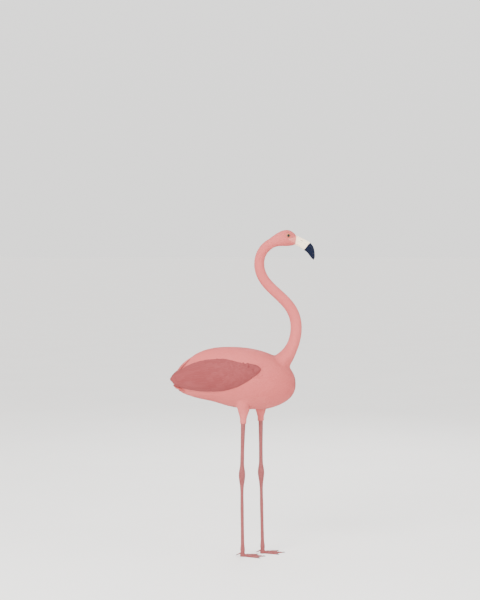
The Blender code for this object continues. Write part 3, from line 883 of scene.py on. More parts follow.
def laying_tree():
    """Lays a copy of one vane at every root, along its lie, over the support's surface.

    Each root holds lie, out, size (length, width, lift), tone and patch, and bend and cling where used.
    """
    tree = bpy.data.node_groups.new("lay vanes", "GeometryNodeTree")
    tree.interface.new_socket("Geometry", in_out="INPUT", socket_type="NodeSocketGeometry")
    for name, kind in (
        ("Vane", "NodeSocketObject"), ("Support", "NodeSocketObject"), ("Turn", "NodeSocketFloat"),
        ("Stand", "NodeSocketFloat"), ("Patch", "NodeSocketFloat"), ("Seed", "NodeSocketInt"),
        ("Finish", "NodeSocketMaterial"),
    ):  # fmt: skip
        tree.interface.new_socket(name, in_out="INPUT", socket_type=kind)
    tree.interface.new_socket("Geometry", in_out="OUTPUT", socket_type="NodeSocketGeometry")
    graph = Graph(tree)
    group = tree.nodes.new("NodeGroupInput")
    given = {socket.name: Sum(graph, socket) for socket in group.outputs if socket.name}

    def named(name, kind="FLOAT_VECTOR"):
        return graph.node("GeometryNodeInputNamedAttribute", {"data_type": kind}, {"Name": name}, "Attribute")

    def shape(name):
        settings = {"transform_space": "ORIGINAL"}
        return graph.node("GeometryNodeObjectInfo", settings, {"Object": given[name]}, "Geometry")

    def joined_vector(x, y, z):
        return graph.node("ShaderNodeCombineXYZ", None, {"X": x, "Y": y, "Z": z}, "Vector")

    lie, out, size, bend, quill = (named(name) for name in ("lie", "out", "size", "bend", "quill"))
    length, width, lift = graph.split(size)
    limits = {"Min_001": given["Turn"] * -1, "Max_001": given["Turn"], "Seed": given["Seed"]}
    turn = graph.node("FunctionNodeRandomValue", {"data_type": "FLOAT"}, limits, "Value_001")
    axes = {"primary_axis": "X", "secondary_axis": "Z"}
    facing = graph.node("FunctionNodeAxesToRotation", axes, {"Primary Axis": lie, "Secondary Axis": out}, "Rotation")
    twist = graph.node("FunctionNodeAxisAngleToRotation", None, {"Axis": (0.0, 0.0, 1.0), "Angle": turn}, "Rotation")
    local = {"rotation_space": "LOCAL"}
    facing = graph.node("FunctionNodeRotateRotation", local, {"Rotation": facing, "Rotate By": twist}, "Rotation")
    values = {
        "Points": given["Geometry"], "Instance": shape("Vane"), "Rotation": facing,
        "Scale": joined_vector(length, width, width),
    }  # fmt: skip
    placed = graph.node("GeometryNodeInstanceOnPoints", None, values, "Instances")
    whole = graph.node("GeometryNodeRealizeInstances", None, {"Geometry": placed}, "Geometry")
    along, across, height = graph.split(quill)
    height = height * width
    position = graph.node("GeometryNodeInputPosition", None, None, "Position")
    flat = position + bend * (along * along)
    rise = given["Stand"] + length * lift * along * (1.8 - 0.8 * along)
    support = shape("Support")

    def nearest(value):
        values = {"Mesh": support, "Value": value, "Sample Position": flat - out * height}
        return graph.node("GeometryNodeSampleNearestSurface", {"data_type": "FLOAT_VECTOR"}, values, "Value")

    clung = nearest(position) + nearest(named("surface_normal")) * (height + rise)
    values = {"Factor_Float": named("cling", "FLOAT"), "A_Vector": flat + out * rise, "B_Vector": clung}
    target = graph.node("ShaderNodeMix", {"data_type": "VECTOR"}, values, "Result_Vector")
    whole = graph.node("GeometryNodeSetPosition", None, {"Geometry": whole, "Position": target}, "Geometry")
    corner = {"data_type": "FLOAT2", "domain": "CORNER"}
    blade = joined_vector(along, across + 0.5, 0.0)
    values = {"Geometry": whole, "Name": "Vane", "Value": blade}
    whole = graph.node("GeometryNodeStoreNamedAttribute", corner, values, "Geometry")
    spot = named("patch") + joined_vector(along - 0.5, across, 0.0) * given["Patch"]
    values = {"Geometry": whole, "Name": "OFBake", "Value": spot}
    whole = graph.node("GeometryNodeStoreNamedAttribute", corner, values, "Geometry")
    whole = graph.node("GeometryNodeSetShadeSmooth", None, {"Geometry": whole, "Shade Smooth": True}, "Geometry")
    whole = graph.node("GeometryNodeSetMaterial", None, {"Geometry": whole, "Material": given["Finish"]}, "Geometry")
    output = tree.nodes.new("NodeGroupOutput")
    tree.links.new(whole.socket, output.inputs[0])
    return tree


ROOT_KEYS = ("point", "lie", "out", "size", "tone", "patch")
BENT_KEYS = ("point", "lie", "out", "size", "bend", "tone", "patch")


def columns_of(keys, rows):
    """The columns of the rows by name, each as one array."""
    return dict(zip(keys, (np.array(column, float) for column in zip(*rows))))


def lay(name, roots, template, support, finish, turn=0.0, stand=0.0003, seed=1):
    """A piece of many vanes, as one plain mesh. Roots holds arrays by ROOT_KEYS, and bend and cling where used."""
    count = len(roots["point"])
    mesh = bpy.data.meshes.new(name)
    mesh.vertices.add(count)
    mesh.vertices.foreach_set("co", np.asarray(roots["point"], np.float32).ravel())
    for key in ("lie", "out", "size", "bend"):
        store(mesh, key, roots.get(key, np.zeros((count, 3))), "FLOAT_VECTOR")
    store(mesh, "patch", np.column_stack([roots["patch"], np.zeros(count)]), "FLOAT_VECTOR")
    store(mesh, "tone", roots["tone"])
    store(mesh, "cling", roots.get("cling", np.ones(count)))
    obj = linked(name, mesh)
    tree = bpy.data.node_groups.get("lay vanes") or laying_tree()
    values = {
        "Vane": template, "Support": support, "Turn": math.radians(turn), "Stand": stand,
        "Patch": PATCH, "Seed": seed, "Finish": finish,
    }  # fmt: skip
    modifier = obj.modifiers.new("lay", "NODES")
    modifier.node_group = tree
    for item in tree.interface.items_tree:
        if item.item_type == "SOCKET" and item.in_out == "INPUT" and item.name in values:
            modifier[item.identifier] = values[item.name]
    made = settled(obj)
    for key in ("lie", "out", "size", "bend", "quill", "cling", "patch"):
        attribute = made.data.attributes.get(key)
        if attribute:
            made.data.attributes.remove(attribute)
    return made


def as_support(obj):
    store(obj.data, "surface_normal", normals_of(obj), "FLOAT_VECTOR")
    return obj


def wear(obj, finish):
    """Gives a mesh object its one material."""
    obj.data.materials.clear()
    obj.data.materials.append(finish)


def kept(obj, slot, *nodes):
    """Marks a finished piece: it rides on the body and stands for the nodes. The slot is not used."""
    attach(obj, BODY)
    if nodes:
        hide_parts(*nodes)
    return obj


def scatter(skin, spacing, tract, seed):
    """Roots spread over the skin inside one tract, no two nearer than the spacing there."""
    rng = np.random.default_rng(seed)
    mesh = skin.data
    mesh.calc_loop_triangles()
    faces = np.empty(len(mesh.loop_triangles) * 3, np.int32)
    mesh.loop_triangles.foreach_get("vertices", faces)
    faces = faces.reshape(-1, 3)
    points, normals = points_of(skin), normals_of(skin)
    gaps = spacing(points) * tract(points)
    gap = gaps[faces].min(1)
    a, b, c = (points[faces[:, i]] for i in range(3))
    area = np.linalg.norm(np.cross(b - a, c - a), axis=1) / 2
    wish = np.where(gap > 0, area / np.maximum(gap, 1e-6) ** 2, 0)
    count = int(wish.sum() * 7)
    chosen = rng.choice(len(faces), count, p=wish / wish.sum())
    u, v = rng.random(count), rng.random(count)
    over = u + v > 1
    u[over], v[over] = 1 - u[over], 1 - v[over]
    weights = np.stack([1 - u - v, u, v], 1)[:, :, None]
    spots = (points[faces[chosen]] * weights).sum(1)
    outs = unit((normals[faces[chosen]] * weights).sum(1))
    reach = (gaps[faces[chosen]] * weights[:, :, 0]).sum(1)
    cell = float(reach.max())
    keys = np.floor(spots / cell).astype(int)
    grid, kept_rows = {}, []
    around = [(i, j, k) for i in (-1, 0, 1) for j in (-1, 0, 1) for k in (-1, 0, 1)]
    rows = spots.tolist()
    for n, (key, spot, near) in enumerate(zip(keys.tolist(), rows, reach.tolist())):
        square = near * near
        clear = True
        for i, j, k in around:
            for other in grid.get((key[0] + i, key[1] + j, key[2] + k), ()):
                if (spot[0] - other[0]) ** 2 + (spot[1] - other[1]) ** 2 + (spot[2] - other[2]) ** 2 < square:
                    clear = False
                    break
            if not clear:
                break
        if clear:
            grid.setdefault(tuple(key), []).append(spot)
            kept_rows.append(n)
    return spots[kept_rows], outs[kept_rows], reach[kept_rows], rng


def plumage_lie(points, normals):
    """The direction in which the plumage lies: from the bill down the neck, over the trunk and to the tail."""
    neck, length = neck_share(points)
    _, heading = neck_line(np.clip(length, 0, HEAD_END))
    away = points - NECK_EXIT
    distance = np.linalg.norm(away, axis=1, keepdims=True)
    near = np.exp(-((distance / 0.150) ** 2))
    body = near * unit(away) + (1 - near) * np.array((-1.0, 0.0, -0.10))
    flow = neck[:, None] * -heading + (1 - neck[:, None]) * unit(body)
    thigh = thigh_share(points)[:, None]
    flow = flow * (1 - thigh) + thigh * np.array((-0.12, 0.0, -1.0))
    for _, side in SIDES:
        off = points - np.array(eye_centre(side))
        near = np.linalg.norm(off, axis=1, keepdims=True)
        flow = flow + 0.9 * np.exp(-((near / 0.0145) ** 2)) * unit(off)
    return in_plane(flow, normals)


# --- Finishes -------------------------------------------------------------------------------


def blade_map(graph):
    """How far along the vane a point is, and how far from its shaft, 0 to 1."""
    uv = graph.node("ShaderNodeUVMap", {"uv_map": "Vane"}, None, "UV")
    along, across, _ = graph.split(uv)
    return along, ((across - 0.5) * 2).math("ABSOLUTE")


def pink_cloud(graph, main, pale):
    """The pink that skin and plumage share: warmer and paler in slow patches and under the belly."""
    place = graph.object_place()
    _, _, z = graph.split(place)
    patches = graph.noise(place, 6.0, 3.0).between(0.35, 0.75) * 0.28
    belly = z.between(0.70, 0.60) * z.between(0.50, 0.56) * 0.25
    return graph.mix((patches + belly).at_most(1.0), main, pale)


def colours(settings, *names):
    return [tuple(getattr(settings, name)) for name in names]


def feather_finish(name, main, deep, pale, barbs, sheen=0.06, pale_edge=0.30, variety=0.26):
    def build(graph):
        along, off = blade_map(graph)
        tone = graph.attribute("tone")
        colour = pink_cloud(graph, main, pale)
        colour = graph.mix((tone * 0.5 + 0.5) * variety, colour, deep)
        colour = graph.mix(off.between(0.55, 1.0) * pale_edge, colour, pale)
        # Painted shade: each feather is darkened towards the deep colour at its root, where the feathers over it cover
        # it.
        colour = graph.mix(along.between(0.45, 0.10) * 0.35, colour, deep)
        stripe = ((along - off * 0.22) * barbs).math("SINE") * 0.5 + 0.5
        grain = graph.noise(graph.object_place(), 900.0, 1.0)
        colour = graph.mix(stripe * grain * 0.24, colour, deep)
        shaft = off.between(0.10, 0.03) * along.between(0.98, 0.80)
        colour = graph.mix(shaft * 0.30, colour, pale)
        roughness = 0.72 + grain * 0.16
        return colour, roughness, stripe * 0.6 + shaft * 0.8, 0.00012

    tint = tuple(0.4 + 0.6 * c / max(pale) for c in pale)
    return finish_material(
        name, build, Sheen_Weight=sheen, Sheen_Roughness=0.5, Sheen_Tint=tint, Specular_IOR_Level=0.15
    )


def skin_finish(plumage, skin):
    body, pale, deep = colours(plumage, "body", "pale", "deep")
    leg_rose, leg_deep, face_pink, lid, lid_edge = colours(skin, "leg", "leg_deep", "face", "lid", "lid_edge")

    def build(graph):
        place = graph.object_place()
        x, _, z = graph.split(place)
        colour = graph.mix(0.35, pink_cloud(graph, body, pale), deep)
        leg = z.between(0.600, 0.578)
        mottle = graph.noise(place, 240.0, 3.0)
        rose = graph.mix(mottle * 0.5, leg_rose, leg_deep)
        joint = ((z - ANKLE_HEIGHT) / 0.024).math("ABSOLUTE").between(1.0, 0.3)
        toes = z.between(0.030, 0.010)
        rose = graph.mix((joint * 0.35 + toes * 0.30).at_most(1.0), rose, leg_deep)
        colour = graph.mix(leg, colour, rose)
        face = z.between(1.27, 1.29) * x.between(0.180, 0.192)
        colour = graph.mix(face * (0.5 + mottle * 0.4), colour, face_pink)
        near = None
        for side in (1, -1):
            ends = {0: place, 1: tuple(eye_centre(side))}
            gap = graph.node("ShaderNodeVectorMath", {"operation": "DISTANCE"}, ends, "Value")
            near = gap if near is None else near.at_most(gap)
        colour = graph.mix(near.between(0.0138, 0.0124), colour, lid)
        colour = graph.mix(near.between(0.01120, 0.01098) * 0.55, colour, lid_edge)
        cells = {"Vector": place, "Scale": 420.0}
        scale = graph.node("ShaderNodeTexVoronoi", {"feature": "DISTANCE_TO_EDGE"}, cells, "Distance")
        pebble = scale.between(0.0, 0.25)
        wrinkle = graph.noise(place, 700.0, 3.0)
        folds = graph.noise(place, 420.0, 4.0, 0.6) * face * 8.0
        relief = pebble * (leg * 0.8 + 0.2) + wrinkle * 0.5 + folds
        colour = graph.mix((1 - pebble) * leg * 0.35, colour, leg_deep)
        return colour, 0.52 + mottle * 0.16, relief, 0.00018

    return finish_material("bare skin", build, Specular_IOR_Level=0.35)


def scute_finish(skin):
    leg_rose, leg_deep = colours(skin, "leg", "leg_deep")

    def build(graph):
        along, off = blade_map(graph)
        tone = graph.attribute("tone")
        place = graph.object_place()
        mottle = graph.noise(place, 300.0, 3.0)
        colour = graph.mix((tone * 0.35 + 0.35 + mottle * 0.2).at_most(1.0), leg_rose, leg_deep)
        edge = along.between(0.82, 1.0).at_least(off.between(0.80, 1.0))
        colour = graph.mix(edge * 0.35, colour, leg_deep)
        lines = (along * 24.0).math("SINE") * 0.5 + 0.5
        return colour, 0.42 + mottle * 0.16, lines * 0.3 + mottle * 0.7, 0.00008

    return finish_material("leg scales", build, Specular_IOR_Level=0.4)


def bill_finish(horn):
    def build(graph):
        place = graph.object_place()
        along = graph.attribute("gape")
        grain = graph.noise(place, 160.0, 4.0)
        wander = (graph.noise(place, 70.0, 1.0) - 0.5) * 0.004
        dark = (along + wander).between(horn.dark_from - 0.0012, horn.dark_from + 0.0018)
        root = along.between(0.016, 0.0) * 0.35
        pale = graph.mix(root, tuple(horn.pale), tuple(horn.root))
        pale = graph.mix(grain.between(0.45, 0.8) * 0.22, pale, tuple(horn.root))
        colour = graph.mix(dark, pale, tuple(horn.dark))
        # Painted shade: the insides of the nostrils go near black the deeper they lie under the bill's outside.
        colour = graph.mix(graph.attribute("hollow").between(0.0002, 0.0012) * 0.9, colour, (0.05, 0.02, 0.018))
        growth = ((along + wander * 0.2) * 5200).math("SINE") * 0.5 + 0.5
        scratch = graph.noise(place, 900.0, 2.0)
        return colour, 0.34 + grain * 0.14, growth * 0.25 + scratch * 0.5, 0.00007

    return finish_material("bill horn", build, Specular_IOR_Level=0.08)


def eye_finish(eye):
    def build(graph):
        ring = graph.attribute("ring")
        place = graph.object_place()
        streak = graph.noise(place, 1400.0, 2.0)
        iris = graph.mix(streak.between(0.3, 0.7), tuple(eye.iris), tuple(eye.iris_deep))
        pupil = ring.between(eye.pupil + 1.0, eye.pupil - 1.0)
        limbus = ring.between(eye.limbus - 2.5, eye.limbus)
        colour = graph.mix(pupil.at_least(limbus), iris, tuple(eye.dark))
        return colour, 0.06, None, 0.0

    return finish_material("eye", build, Coat_Weight=1.0, Coat_Roughness=0.02, Coat_IOR=1.38, Specular_IOR_Level=0.0)


def horn_finish(name, colour, deep):
    def build(graph):
        place = graph.object_place()
        grain = graph.noise(place, 500.0, 4.0)
        return graph.mix(grain.between(0.3, 0.8), colour, deep), 0.36 + grain * 0.2, grain, 0.00012

    return finish_material(name, build, Specular_IOR_Level=0.45)


def floor_finish(stage):
    def build(graph):
        place = graph.object_place()
        cloud = graph.noise(place, 1.6, 3.0)
        grain = graph.noise(place, 90.0, 2.0)
        floor = tuple(stage.floor)
        shade = tuple(c * 0.965 for c in floor)
        return graph.mix(cloud.between(0.35, 0.7) * 0.5, floor, shade), 0.75 + grain * 0.1, grain, 0.0001

    return finish_material("pale floor", build)


# --- Settings -------------------------------------------------------------------------------


def colour_setting(name, description, value):
    return bpy.props.FloatVectorProperty(
        name=name, description=description, default=value, subtype="COLOR", min=0.0, max=1.0
    )


def size_setting(name, description, value):
    return bpy.props.FloatProperty(
        name=name, description=description, default=value, min=0.0, subtype="DISTANCE", unit="LENGTH"
    )


def share_setting(name, description, value):
    return bpy.props.FloatProperty(name=name, description=description, default=value)


class FlamingoPlumage(bpy.types.PropertyGroup):
    body: colour_setting("Body pink", "The plumage of trunk, neck and head", (0.55, 0.112, 0.107))
    # Deep pink is the darker feathers' own colour and also the painted shade at the feathers' covered roots.
    deep: colour_setting("Deep pink", "The darker feathers and their roots", (0.467, 0.078, 0.0755))
    pale: colour_setting("Pale pink", "Edges, shafts and the belly", (0.635, 0.174, 0.1615))
    covert: colour_setting("Wing rose", "The folded wing", (0.220, 0.0425, 0.0445))
    # Deep wing rose is the darker wing feathers' own colour and also the painted shade at their covered roots.
    covert_deep: colour_setting("Deep wing rose", "The darker wing feathers", (0.18, 0.031, 0.033))
    covert_pale: colour_setting("Pale wing rose", "Edges of the wing feathers", (0.30, 0.078, 0.078))
    flight: colour_setting("Flight feathers", "The feathers hidden under the wing", (0.02, 0.017, 0.02))
    body_gap: size_setting("Body spacing", "Between the roots of the body's feathers", 0.0037)
    length_ratio: share_setting("Length", "A feather's length for its spacing", 6.6)
    width_ratio: share_setting("Width", "A feather's width for its spacing", 2.0)
    turn: share_setting("Turn", "How far a feather may turn from its lie, in degrees", 8.0)
    seed: bpy.props.IntProperty(name="Seed", description="Places and tones of the feathers", default=7)


class FlamingoSkin(bpy.types.PropertyGroup):
    leg: colour_setting("Leg rose", "The bare legs", (0.270, 0.059, 0.059))
    leg_deep: colour_setting("Deep leg rose", "Joints and the edges of scales", (0.190, 0.034, 0.035))
    face: colour_setting("Face", "The bare skin before the eye", (0.60, 0.17, 0.14))
    lid: colour_setting("Eyelid", "The bare ring round the eye", (0.50, 0.105, 0.09))
    lid_edge: colour_setting("Eyelid edge", "The rim against the eye", (0.16, 0.06, 0.06))
    scale_step: size_setting("Scale step", "From one leg scale to the next", 0.0052)


class FlamingoHorn(bpy.types.PropertyGroup):
    pale: colour_setting("Pale horn", "The bill before its bend", (0.95, 0.76, 0.56))
    root: colour_setting("Bill root", "The bill's blush beside the face", (0.86, 0.50, 0.36))
    dark: colour_setting("Dark horn", "The bill's tip", (0.0035, 0.0062, 0.0205))
    dark_from: size_setting("Dark from", "Length along the gape where the dark tip begins", 0.053)
    claw: colour_setting("Claw", "Claws", (0.05, 0.035, 0.04))
    lamella_step: size_setting("Lamella step", "From one filter tooth to the next", 0.0013)


class FlamingoEye(bpy.types.PropertyGroup):
    iris: colour_setting("Iris", "The ring round the pupil", (0.62, 0.36, 0.06))
    iris_deep: colour_setting("Deep iris", "Streaks in the iris", (0.34, 0.16, 0.025))
    dark: colour_setting("Pupil", "Pupil and the iris's outer edge", (0.002, 0.003, 0.008))
    pupil: share_setting("Pupil", "The pupil's half-angle in degrees", 33.0)
    limbus: share_setting("Iris edge", "The iris's outer half-angle in degrees", 42.0)


class FlamingoStage(bpy.types.PropertyGroup):
    floor: colour_setting("Floor", "The plain floor", (0.86, 0.845, 0.82))
    horizon: colour_setting("Horizon", "The surround level with the floor", (0.785, 0.775, 0.757))
    sky: colour_setting("Surround", "The surround overhead", (0.96, 0.955, 0.95))
    sky_strength: share_setting("Surround strength", "Light from all round", 2.1)
    key: share_setting("Key light", "Power of the main soft light in watts", 330.0)
    fill: share_setting("Fill light", "Power of the soft light from the other side in watts", 90.0)
    lens: share_setting("Lens", "Focal length in millimetres", 87.4)


# --- Pieces ---------------------------------------------------------------------------------


class FLAMINGO_OT_skin(bpy.types.Operator):
    """Make the one skin of trunk, neck, head, thighs, legs and feet"""

    bl_idname = "flamingo.skin"
    bl_label = "Skin"

    def execute(self, context):
        head = combined(make_head_skin(), "UNION", *(make_lids(side) for _, side in SIDES))
        sockets = [ball("socket", eye_frame(side)[0], EYE_RADIUS + 0.00005) for _, side in SIDES]
        head = combined(head, "DIFFERENCE", *sockets)
        limbs = [make_leg_skin(name) for name, _ in SIDES] + [make_foot(name, side) for name, side in SIDES]
        skin = combined(make_core(), "UNION", head, *limbs)
        skin.name = skin.data.name = "skin"
        skin.data.shade_smooth()
        wear(skin, skin_finish(context.scene.flamingo_plumage, context.scene.flamingo_skin))
        as_support(skin)
        nodes = ["trunk", "rump", "head", "neck_lower", "neck_middle", "neck_upper"]
        for side, _ in SIDES:
            nodes += [f"{part}_{side}" for part in ("thigh", "shin", "tarsus", "foot", "toe_hind")]
        kept(skin, "feathered_body", *nodes)
        return {"FINISHED"}


def feather_gap(points, body_gap):
    """The spacing of the feathers' roots: widest on the trunk, finest on the face."""
    neck, length = neck_share(points)
    stops = (0.07, 0.12, 0.20, 0.35, 0.62, 0.68, 0.71, 0.735, 0.752)
    gaps = (0.0040, 0.0036, 0.0031, 0.0028, 0.0026, 0.0022, 0.0018, 0.0015, 0.0013)
    gap = body_gap * (1 - neck) + np.interp(length, stops, gaps) * neck
    thigh = thigh_share(points)
    return gap * (1 - thigh) + 0.0036 * thigh


def plumed(points):
    """1 where the skin carries feathers and 0 where it is bare or lies under the wing."""
    neck, length = neck_share(points)
    bare = (points[:, 2] < THIGH_END + 0.006) | under_wing(points)
    for _, side in SIDES:
        bare |= np.linalg.norm(points - np.array(eye_centre(side)), axis=1) < BARE_EYE_RADIUS
    centre, heading = neck_line(np.clip(length, 0, HEAD_END))
    up = np.cross(heading, ACROSS)
    above = ((points - centre) * up).sum(1)
    ahead = (length - 0.7235) / 0.0245
    edge = 0.0045 + 0.0075 * np.clip(ahead, 0, 1) ** 1.3 + 0.0006 * np.sin(length * 2100)
    lores = (ahead > 0) & (np.abs(above - 0.0035 + 0.0015 * ahead) < edge) & (np.abs(points[:, 1]) > 0.006)
    face = (length > 0.7478 + 0.0008 * np.sin(above * 900)) | lores
    return 1.0 - (bare | (face & (neck > 0.5)))


def unwrapped(points, tract):
    """Where each root lies on the tract's own unwrap, length against turn."""
    if tract in ("back", "breast", "belly"):
        turn = np.arctan2(points[:, 2] - 0.745, points[:, 1])
        return np.stack([trunk_angle(points[:, 0]) / math.pi, turn / (2 * math.pi) + 0.5], 1) * 0.98 + 0.01
    if tract == "thighs":
        turn = np.zeros(len(points))
        for side, half in ((1, 0.0), (-1, 0.5)):
            line = LEG_LINES["left" if side > 0 else "right"]
            middle = line(MID_THIGH)
            mine = points[:, 1] * side > 0
            found = np.arctan2(points[:, 1] - middle[1], points[:, 0] - middle[0]) / (4 * math.pi) + 0.25 + half
            turn[mine] = found[mine]
        return np.stack([(points[:, 2] - 0.55) / 0.14, turn], 1) * 0.96 + 0.02
    low, high = {"neck_lower": (0.05, 0.35), "neck_upper": (0.32, 0.67), "head": (0.64, 0.76)}[tract]
    length, _ = along_neck(points)
    centre, heading = neck_line(np.clip(length, 0, HEAD_END))
    up = np.cross(heading, ACROSS)
    turn = np.arctan2(((points - centre) * up).sum(1), points[:, 1])
    return np.stack([(length - low) / (high - low), turn / (2 * math.pi) + 0.5], 1) * 0.98 + 0.01


def in_tract(tract):
    def test(points):
        neck, length = neck_share(points)
        thigh = thigh_share(points) > 0.5
        on_neck = (neck > 0.5) & ~thigh
        trunk = ~on_neck & ~thigh
        chosen = {
            "back": trunk & (points[:, 2] > FLANK_HEIGHT),
            "breast": trunk & (points[:, 2] <= FLANK_HEIGHT) & (points[:, 0] > BREAST_X),
            "belly": trunk & (points[:, 2] <= FLANK_HEIGHT) & (points[:, 0] <= BREAST_X),
            "thighs": thigh,
            "neck_lower": on_neck & (length < NECK_PARTING),
            "neck_upper": on_neck & (length >= NECK_PARTING) & (length < HEAD_PARTING),
            "head": on_neck & (length >= HEAD_PARTING),
        }[tract]
        return chosen * plumed(points)

    return test


CONTOUR_ROWS = ((0, 0), (0.14, 0.28), (0.42, 0.50), (0.70, 0.43), (0.90, 0.19), (1, 0))
COVERT_ROWS = ((0, 0), (0.12, 0.20), (0.40, 0.42), (0.68, 0.50), (0.86, 0.43), (0.96, 0.25), (1, 0))
SMALL_ROWS = ((0, 0), (0.22, 0.34), (0.60, 0.50), (0.86, 0.29), (1, 0))
LONG_ROWS = (
    (0, 0), (0.05, 0.14), (0.22, 0.36), (0.42, 0.47), (0.62, 0.50), (0.78, 0.46), (0.89, 0.36), (0.96, 0.20), (1, 0),
)  # fmt: skip


class FLAMINGO_OT_plumage(bpy.types.Operator):
    """Lay the feathers of trunk, neck, head and thighs over the skin"""

    bl_idname = "flamingo.plumage"
    bl_label = "Body plumage"

    def execute(self, context):
        settings = context.scene.flamingo_plumage
        skin = bpy.data.objects["skin"]
        pinks = colours(settings, "body", "deep", "pale")
        broad = feather_finish("contour feathers", *pinks, barbs=190.0)
        fine = feather_finish("fine feathers", *pinks, barbs=150.0, sheen=0.05, pale_edge=0.18)
        contour = vane("contour_vane", CONTOUR_ROWS, 3, 0.025, 0.018)
        small = vane("small_vane", SMALL_ROWS, 3, 0.035, 0.03)
        tracts = ("back", "breast", "belly", "thighs", "neck_lower", "neck_upper", "head")

        def spacing(points):
            return feather_gap(points, settings.body_gap)

        for number, tract in enumerate(tracts):
            spots, outs, gaps, rng = scatter(skin, spacing, in_tract(tract), settings.seed + number)
            large = tract not in ("neck_lower", "neck_upper", "head")
            share = {"head": 0.66, "neck_upper": 0.85, "neck_lower": 0.92}.get(tract, 1.0)
            length = gaps * settings.length_ratio * share * rng.uniform(0.88, 1.10, len(gaps))
            length = np.minimum(length, spots[:, 0] + REAR_LIMIT)
            length *= 1 - 0.45 * before_wing(spots)
            width = gaps * settings.width_ratio * rng.uniform(0.92, 1.06, len(gaps))
            depth = coat_depth(spots) if tract != "head" else np.full(len(spots), HEAD_COAT)
            lift = (depth * 0.88 - width * 0.03) / length * rng.uniform(0.97, 1.03, len(gaps))
            roots = {
                "point": spots, "lie": plumage_lie(spots, outs), "out": outs,
                "size": np.stack([length, width, lift], 1), "tone": rng.uniform(-1, 1, len(gaps)),
                "cling": 1 - 0.5 * smoothstep(-0.262, -0.275, spots[:, 0]), "patch": unwrapped(spots, tract),
            }  # fmt: skip
            vane_used, finish = (contour, broad) if large else (small, fine)
            piece = lay("plumage_" + tract, roots, vane_used, skin, finish, settings.turn, seed=number)
            kept(piece, "feathered_body")
            print(f"plumage_{tract}: {len(spots)} feathers")
        discard(contour, small)
        return {"FINISHED"}


def wing_frame(x, angle, side):
    """A root on the wing, the way to its tip, outwards, and across."""
    point = wing_point(x, angle, side, WING_INSET)
    back = wing_point(x - 0.004, angle, side, WING_INSET) - point
    around = wing_point(x, angle + 0.02, side, WING_INSET) - wing_point(x, angle - 0.02, side, WING_INSET)
    lie = back / np.linalg.norm(back)
    out = np.cross(around, lie) * side
    return point, lie, out / np.linalg.norm(out)


def wing_rows(rows, side, rng, start, end, droop=0.0, slant=0.0):
    """Roots of wing feathers in rows: each row is its X, its feathers' length, width and lift at the tip.

    Slant is how much further back a row is at its upper end than at its middle."""
    found = []
    for number, (x, length, width, tip_rise) in enumerate(rows):
        length = min(length, (x - WING_TIP) * 0.985)
        turns = np.radians(np.linspace(start, end, 241))
        arc = np.array([wing_point(min(x, GIRTH_X), a, side, WING_INSET) for a in turns])
        steps = np.linalg.norm(np.diff(arc, axis=0), axis=1)
        run = np.concatenate([[0], np.cumsum(steps)])
        half = wing_section(min(x, GIRTH_X))[1]
        later = wing_section(max(WING_TIP + ROOTS_BACK, x - length * 0.6))[1]
        slim = width * (0.5 + 0.5 * min(1.0, later / half))
        count = max(2, round(run[-1] / (slim * 0.60)))
        places = (np.arange(count) + (0.25 if number % 2 else 0.75)) / count * run[-1]
        for angle in np.interp(places, run, turns):
            spot = x - slant * math.sin(angle) + rng.uniform(-1, 1) * width * 0.14
            if not WING_TIP + ROOTS_BACK < spot < WING_FRONT - ROOTS_FRONT:
                continue
            point, lie, out = wing_frame(spot, angle, side)
            reach = min(length * rng.uniform(0.94, 1.04), spot - WING_TIP - 0.001)
            target = wing_point(spot - reach, angle - math.radians(droop) * reach / 0.1, side, WING_INSET)
            size = (reach, slim * rng.uniform(0.95, 1.05), tip_rise / reach * rng.uniform(0.85, 1.1))
            share = (spot - WING_TIP) / (WING_FRONT - WING_TIP)
            patch = (share * 0.96 + 0.02, (math.degrees(angle) + 90) / 360 * 0.96 + 0.02)
            found.append((point, lie, out, size, target - (point + lie * reach), rng.uniform(-1, 1), patch))
    return columns_of(BENT_KEYS, found)


def make_wing_form(name, side):
    """The folded wing's own surface just under its feathers, which they are laid on."""
    turns = turns_round(44)
    share = 0.5 - 0.5 * np.cos(np.linspace(0.05, math.pi - 0.05, 80))
    rings = [[wing_point(WING_TIP, 0, side)]]
    for x in WING_TIP + (WING_FRONT - WING_TIP) * share:
        rings.append([wing_point(x, a, side, WING_INSET) for a in turns])
    rings.append([wing_point(WING_FRONT, 0, side)])
    return as_support(loft(name, rings))


SLANT = 0.034  # how far back the upper end of a row of coverts lies
LESSER_ROWS = [
    (x, 0.024, 0.0125, 0.0022 + 0.0026 * float(smoothstep(0.025, 0.070, x))) for x in np.arange(0.110, -0.022, -0.0065)
]
MEDIAN_ROWS = [(-0.026, 0.036, 0.0160, 0.0024), (-0.039, 0.040, 0.0165, 0.0024), (-0.053, 0.044, 0.0170, 0.0024)]
GREATER_ROWS = [(-0.070, 0.058, 0.0185, 0.0025), (-0.089, 0.068, 0.0190, 0.0025)]
LONG_STARTS = (-0.106, -0.124, -0.142, -0.160, -0.178, -0.196, -0.214, -0.230, -0.246)
LONG_WING_ROWS = [(x, 0.112, 0.0200, 0.0022) for x in LONG_STARTS]
INNER_ROWS = [(x, 0.120, 0.0180, 0.0015) for x in (-0.150, -0.175, -0.200, -0.222, -0.242)]
FLIGHT_ROWS = [(x, 0.262 + x, 0.0150, 0.0012) for x in (-0.140, -0.160, -0.180, -0.200)]


